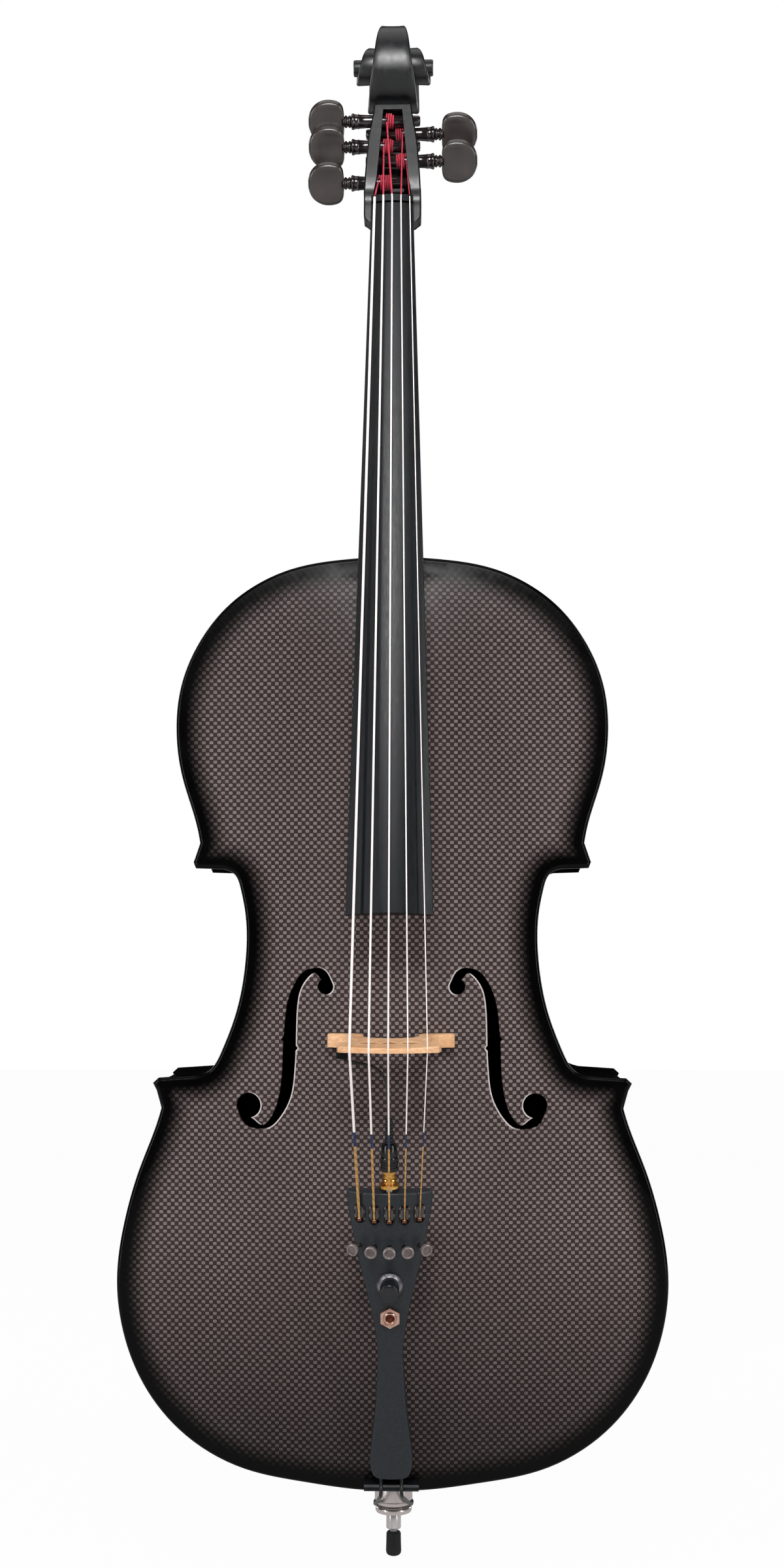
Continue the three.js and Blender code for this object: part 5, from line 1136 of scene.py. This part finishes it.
def tailpiece():
    shares, widths = spline(TAIL_SHARES, 6).T
    halves = np.maximum(widths, 0.2) * TAIL.width / 2
    neck_part, turn_at = TAIL.length - TAIL.flare, TAIL.flare_share
    heights = np.where(shares < turn_at, neck_part * shares / turn_at,
                       neck_part + TAIL.flare * (shares - turn_at) / (1 - turn_at))
    crown = [(x, TAIL.length) for x in np.linspace(halves[-1], -halves[-1], 25)[1:-1]]
    loop = mirrored(np.stack([halves, heights], axis=1), crown)
    trim = halves - TAIL.wall
    low, high = TAIL.solid, TAIL.length - TAIL.end_wall - TAIL.drop
    among = (heights > low) & (heights < high)
    room = mirrored(np.array([(np.interp(low, heights, trim), low), *zip(trim[among], heights[among]),
                              (np.interp(high, heights, trim), high)]))

    def slot_loop(x):
        r = TUNER.width / 2
        low_end = [(x + r * math.cos(t), TUNER.low + r * (1 + math.sin(t)))
                   for t in np.linspace(math.pi, 2 * math.pi, 17)]
        high_end = [(r, 2), (r * 0.7, 0), (-r * 0.7, 0), (-r, 2)]
        return np.array([*low_end, *((x + out, TUNER.high - under) for out, under in high_end)])

    places = [across(i, TUNER.spacing) for i in range(5)]
    holes = [slot_loop(x) for x in places]
    holes += [oval(x, TUNER.screw, TUNER.hole, TUNER.hole, 16) for x in places]
    holes += [oval(0, height, radius, radius, 28)
              for height, radius in ((VOLUME_HEIGHT, VOLUME_HOLE), (JACK_HEIGHT, JACK_HOLE))]
    edge, rim = 1.8, 0.7

    def surface(flat, depth, slope):
        x, z = flat.T
        near_top = np.clip((z - (1 - TAIL.bow) * TAIL.length) / (TAIL.bow * TAIL.length), 0, 1)
        y = (1 - TAIL.flat * depth / TAIL.depth) * sink(x, TAIL.radius) + depth
        z = z - TAIL.drop * (x / (TAIL.width / 2)) ** 2 * near_top + slope * (z >= TAIL.length - 1e-6)
        return placed(np.stack([x, y, z], axis=1), TAIL_FRAME)

    def front(flat, away, beside):
        return surface(flat, round_off(away, edge) + round_off(beside, rim), 0)

    def back(flat, zone):
        return surface(flat, TAIL.shell if zone else TAIL.depth, 0 if zone else TAIL.slope)

    points, faces, *_ = sheet(even(loop, 2.5), holes, 2.6, edge, front, back, zones=[even(room, 3)], rim=rim)
    fixed_piece("tail_shell", (points, faces), MATTE, "tailpiece", "tailpiece", sharp=38)


def tuners():
    low, high, r = TUNER.stand, TUNER.stand + TUNER.thick, TUNER.knob
    knob = [(0, low), (r - 1, low), (r - 0.2, low + 0.3), (r, low + 0.9), (r, high - 0.9),
            (r - 0.2, high - 0.3), (r - 0.7, high), (r - 1.6, high), (r - 1.9, high - 0.25),
            (0, high - 0.25)]
    for i in range(5):
        points, faces = lathe(knob, 56, face_frame(across(i, TUNER.spacing), TUNER.screw))
        piece(f"tuner_disc_{i + 1}", points, faces, KNOB_METAL, f"tuner_body_{i + 1}",
              [f"tuner_knob_{i + 1}"], "dark_metal", sharp=30)


def controls():
    at = face_frame(0, VOLUME_HEIGHT)
    skirt = [(3.4, 0.6), (10, 0.6), (10.4, 1), (10.4, 2.6), (10.1, 3.2), (8.3, 5.2), (3.4, 5.2), (3.4, 0.6)]
    piece("volume_skirt", *lathe(skirt, 96, at), SKIRT, "volume", ["volume_knob"], "knob", sharp=25)
    cap = [(3.4, 5.1), (7.6, 5.1), (7.65, 5.6), (7.65, 17.6), (7.35, 18.5), (6.7, 19), (0, 18.9), (0, 15.3),
           (3.4, 15.3), (3.4, 5.1)]
    piece("volume_cap", *lathe(cap, 96, at), BUTTON, "volume", ["volume_knob"], "knob", sharp=40)
    ring = [(3.3, -6.4), (3.3, 3.9), (3.9, 4.6), (4.7, 4.6), (5.2, 4.1), (5.2, -3.9), (7.2, -3.9),
            (7.2, -12.5), (0, -12.5), (0, -6.4), (3.3, -6.4)]
    bush = lathe(ring, 56, face_frame(0, JACK_HEIGHT))
    fixed_piece("jack_bush", bush, ROSE, "output_jack", "nickel", sharp=32)


def plug():
    body = [(0, -8), (1.5, -8), (1.75, -7.6), (1.75, 0.3), (7.4, 0.3), (8.1, 0.8), (8.1, 3), (7.4, 3.6),
            (6, 3.7), (5.1, 4.2), (5, 5.2), (5.2, 6), (6, 6.4), (6.2, 7), (5.9, 7.8), (5, 8.4), (4.9, 10),
            (5.4, 11.4), (5.8, 12.4), (5.8, 13.8), (5.2, 14), (0, 14)]
    barrel = [(0, 14), (6.3, 14), (6.9, 14.6), (6.9, 17.2)]
    for z in (17.4 + 2.2 * k for k in range(3)):
        barrel += [(6.35, z), (6.35, z + 0.7), (6.9, z + 1), (6.9, z + 1.9)]
    barrel += [(6.9, 25), (6.6, 25.6), (6.2, 26), (6.1, 34.4), (5.4, 35.5), (3.4, 35.5)]
    ribs = 7
    for k in range(ribs):
        z = 36 + k * 19 / ribs
        r = 3.5 - 0.5 * k / ribs
        barrel += [(r, z), (r, z + 1.5), (r - 0.55, z + 1.9), (r - 0.55, z + 2.4)]
    barrel += [(2.7, 55.5), (1.4, 55.5), (1.4, 45.5), (0, 45.5)]
    for name, profile, material, slot in (
            ("plug_gold", body, GOLD, "gold"), ("jack_plug", barrel, PLASTIC, "rubber")):
        fixed_piece(name, lathe(profile, 64, PLUG_FRAME), material, "pickup_plug", slot, sharp=34)


# Endpin, and the tail cord over the saddle

def endpin():
    shell = [(5.35, 42.9), (12.6, 42.9), (13.2, 43.4), (13.6, 44.2), (13.6, 46.2), (14.4, 46.8), (15.2, 47.2),
             (15.85, 48), (15.85, 72.4), (15.2, 73.6), (13.8, 74.6), (12, 74.7), (10.5, 117.5), (5.35, 117.5),
             (5.35, 42.9)]
    piece("pin_collar", *lathe(shell, 80), KNURL, "instrument", ["endpin_plug"], "nickel", sharp=32)
    nut = [(5.75, 36.8), (13.4, 36.8), (14.4, 37.2), (15.1, 38.2), (15.2, 39), (15.2, 40.8), (14.9, 41.6),
           (14, 42.4), (13.2, 42.6), (5.75, 42.6), (5.75, 36.8)]
    piece("clamp_ring", *lathe(nut, 80), KNURL, "clamp_nut", ["endpin_clamp_nut"], "nickel", sharp=32)
    rod = [(0, 10), (3.3, 10), (3.3, 21.6), (3.6, 22.4), (5.6, 22.9), (6.2, 23.6), (6.2, 34.6), (5.8, 35.8),
           (5, 36.4), (5, 438.5), (3.5, 440), (0, 440)]
    piece("pin_rod", *lathe(rod, 48), STEEL, "endpin", ["endpin_rod", "endpin_ferrule"], "nickel", sharp=32)
    tip = [(0, 0), (3.4, 0.1), (4.8, 0.7), (5.8, 1.6), (6.3, 2.9), (6.45, 4.4), (6.2, 12), (6.1, 18.6),
           (5.7, 19.6), (4.9, 20.3), (4.2, 20.4), (3.6, 20), (3.6, 9.7), (0, 9.7)]
    piece("pin_tip", *lathe(tip, 56), RUBBER, "endpin", ["endpin_tip"], "rubber", sharp=40)


def tail_cord():
    nose = -HALF_RIBS - BODY.plate - SEAT - SADDLE.depth - SEAT - CORD.radius
    height = SADDLE.high - SADDLE.low
    ends = placed([(CORD.spread, TAIL.depth * CORD.bore, z) for z in (CORD.inside, -CORD.radius)], TAIL_FRAME)
    strand = np.array([*ends, (CORD.spread, nose, SADDLE.high - height / 2),
                       (CORD.spread, nose, SADDLE.low + height / 5), *STRAND])
    around = COLLAR_GROOVE + SEAT + CORD.radius
    bend = [(around * math.cos(a), around * math.sin(a), CORD.height) for a in np.linspace(0, math.pi, 17)]
    path = np.concatenate([strand, bend, (strand * (-1, 1, 1))[::-1]])
    fixed_piece("tail_gut", tube(spline(path, 3), CORD.radius, 14), CABLE, "tail_cord", "cord", sharp=60)


# CAD nodes that stay, with their own finishes

def stay():
    blocks = [(name, SPRUCE, 0.5) for name in ("neck_block", "end_block", "sound_post", "bass_bar")]
    screws = [(f"tuner_screw_{i}", NICKEL, 0) for i in range(1, 6)]
    levers = [(f"tuner_lever_{i}", LEVER, 0.9) for i in range(1, 6)]
    for name, material, bevel in (
            *blocks, ("nut", EBONY, 0.3), ("saddle", EBONY, 0.6), ("pickup", PLASTIC, 0.5),
            ("pickup_socket", NICKEL, 0.2), ("tuner_pivot_pin", NICKEL, 0), ("volume_pot", NICKEL, 0.3),
            ("jack_nut", ROSE, 0.4), *screws, *levers):
        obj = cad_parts[name]
        paint(obj, material)
        if bevel:
            rounding(obj, bevel, 3 if material is LEVER else 2)


# Studio

def lamp(name, place, aim, width, height, power):
    data = bpy.data.lights.new(name, "AREA")
    data.shape = "RECTANGLE"
    data.size = width
    data.size_y = height
    data.energy = power
    obj = linked(name, data)
    obj.location = place
    obj.rotation_euler = (Vector(aim) - Vector(place)).to_track_quat("-Z", "Y").to_euler()


def backdrop(name, shape, finish, dark, light):
    obj = hidden(name, shape)
    made = Finish(finish, roughness=0.9, specular=0.1)
    made.colour(made.mix(made.noise(3), dark, light))
    paint(obj, made.material)
    return obj, made


def studio():
    world = bpy.data.worlds.new("studio")
    bpy.context.scene.world = world
    world.use_nodes = True
    sky = Nodes(world.node_tree)
    ground = sky.tree.nodes["Background"]
    rays = sky.add("ShaderNodeLightPath").node.outputs
    seen = sky.math("MAXIMUM", rays["Is Camera Ray"],
                    sky.math("MAXIMUM", rays["Is Glossy Ray"], rays["Is Transmission Ray"]))
    sky.give(ground.inputs["Color"], "ffffff")
    sky.give(ground.inputs["Strength"], sky.spread(seen, 0, 1, SKY_FILL, 1.0))

    sides = (("left", -1), ("right", 1))
    for name, side in sides:
        lamp(f"{name}_strip", (side * 1.75, -1.3, 0.9), (0, 0, 0.6), 0.16, 2.2, 22)
    lamp("top_box", (-0.1, -2.1, 2.0), (0, 0, 1.0), 0.9, 0.5, 20)
    lamp("head_box", (0, -1.25, 1.48), (0, 0, 1.24), 0.65, 0.5, 10)
    for name, side in sides:
        lamp(f"back_{name}", (side * 1.5, 1.4, 1.2), (0, 0, 0.7), 0.4, 1.8, 14)

    walls = oval(0, 0, WALL_RADIUS, WALL_RADIUS, 48)
    rings = [[(x * share, y * share, z) for x, y in walls] for share, z in WALL_RINGS]
    dark, _ = backdrop("dark_walls", lofted(rings, caps=False), "dark_cloth", "1c1c1c", "242424")
    for part in ("camera", "diffuse", "shadow", "transmission", "volume_scatter"):
        setattr(dark, f"visible_{part}", False)

    corners = [(x * FLOOR_HALF, y * FLOOR_HALF, 0) for x, y in ((-1, -1), (1, -1), (1, 1), (-1, 1))]
    floor, made = backdrop("floor", (corners, [(0, 1, 2, 3)]), "floor_paper", "8a8a8a", "929292")
    rays = made.add("ShaderNodeLightPath").node.outputs
    share = made.math("MAXIMUM", made.math("MULTIPLY", rays["Is Camera Ray"], 0.92),
                      made.math("MULTIPLY", rays["Is Glossy Ray"], 0.42))
    glow = made.add("ShaderNodeEmission", Color="ffffff", Strength=1.05)
    both = made.add("ShaderNodeMixShader", _0=share, _1=made.shader.outputs[0], _2=glow)
    made.give(made.tree.nodes["Material Output"].inputs["Surface"], both)


for build in (make_camera, plug, pickup_lead, top_and_back, rib_wall, neck_shaft, pegbox, scroll, fingerboard,
              pegs, strings, bridge, tailpiece, tuners, controls, endpin, tail_cord, stay, studio):
    build()
bpy.context.scene.view_settings.view_transform = "Standard"
bpy.context.view_layer.update()
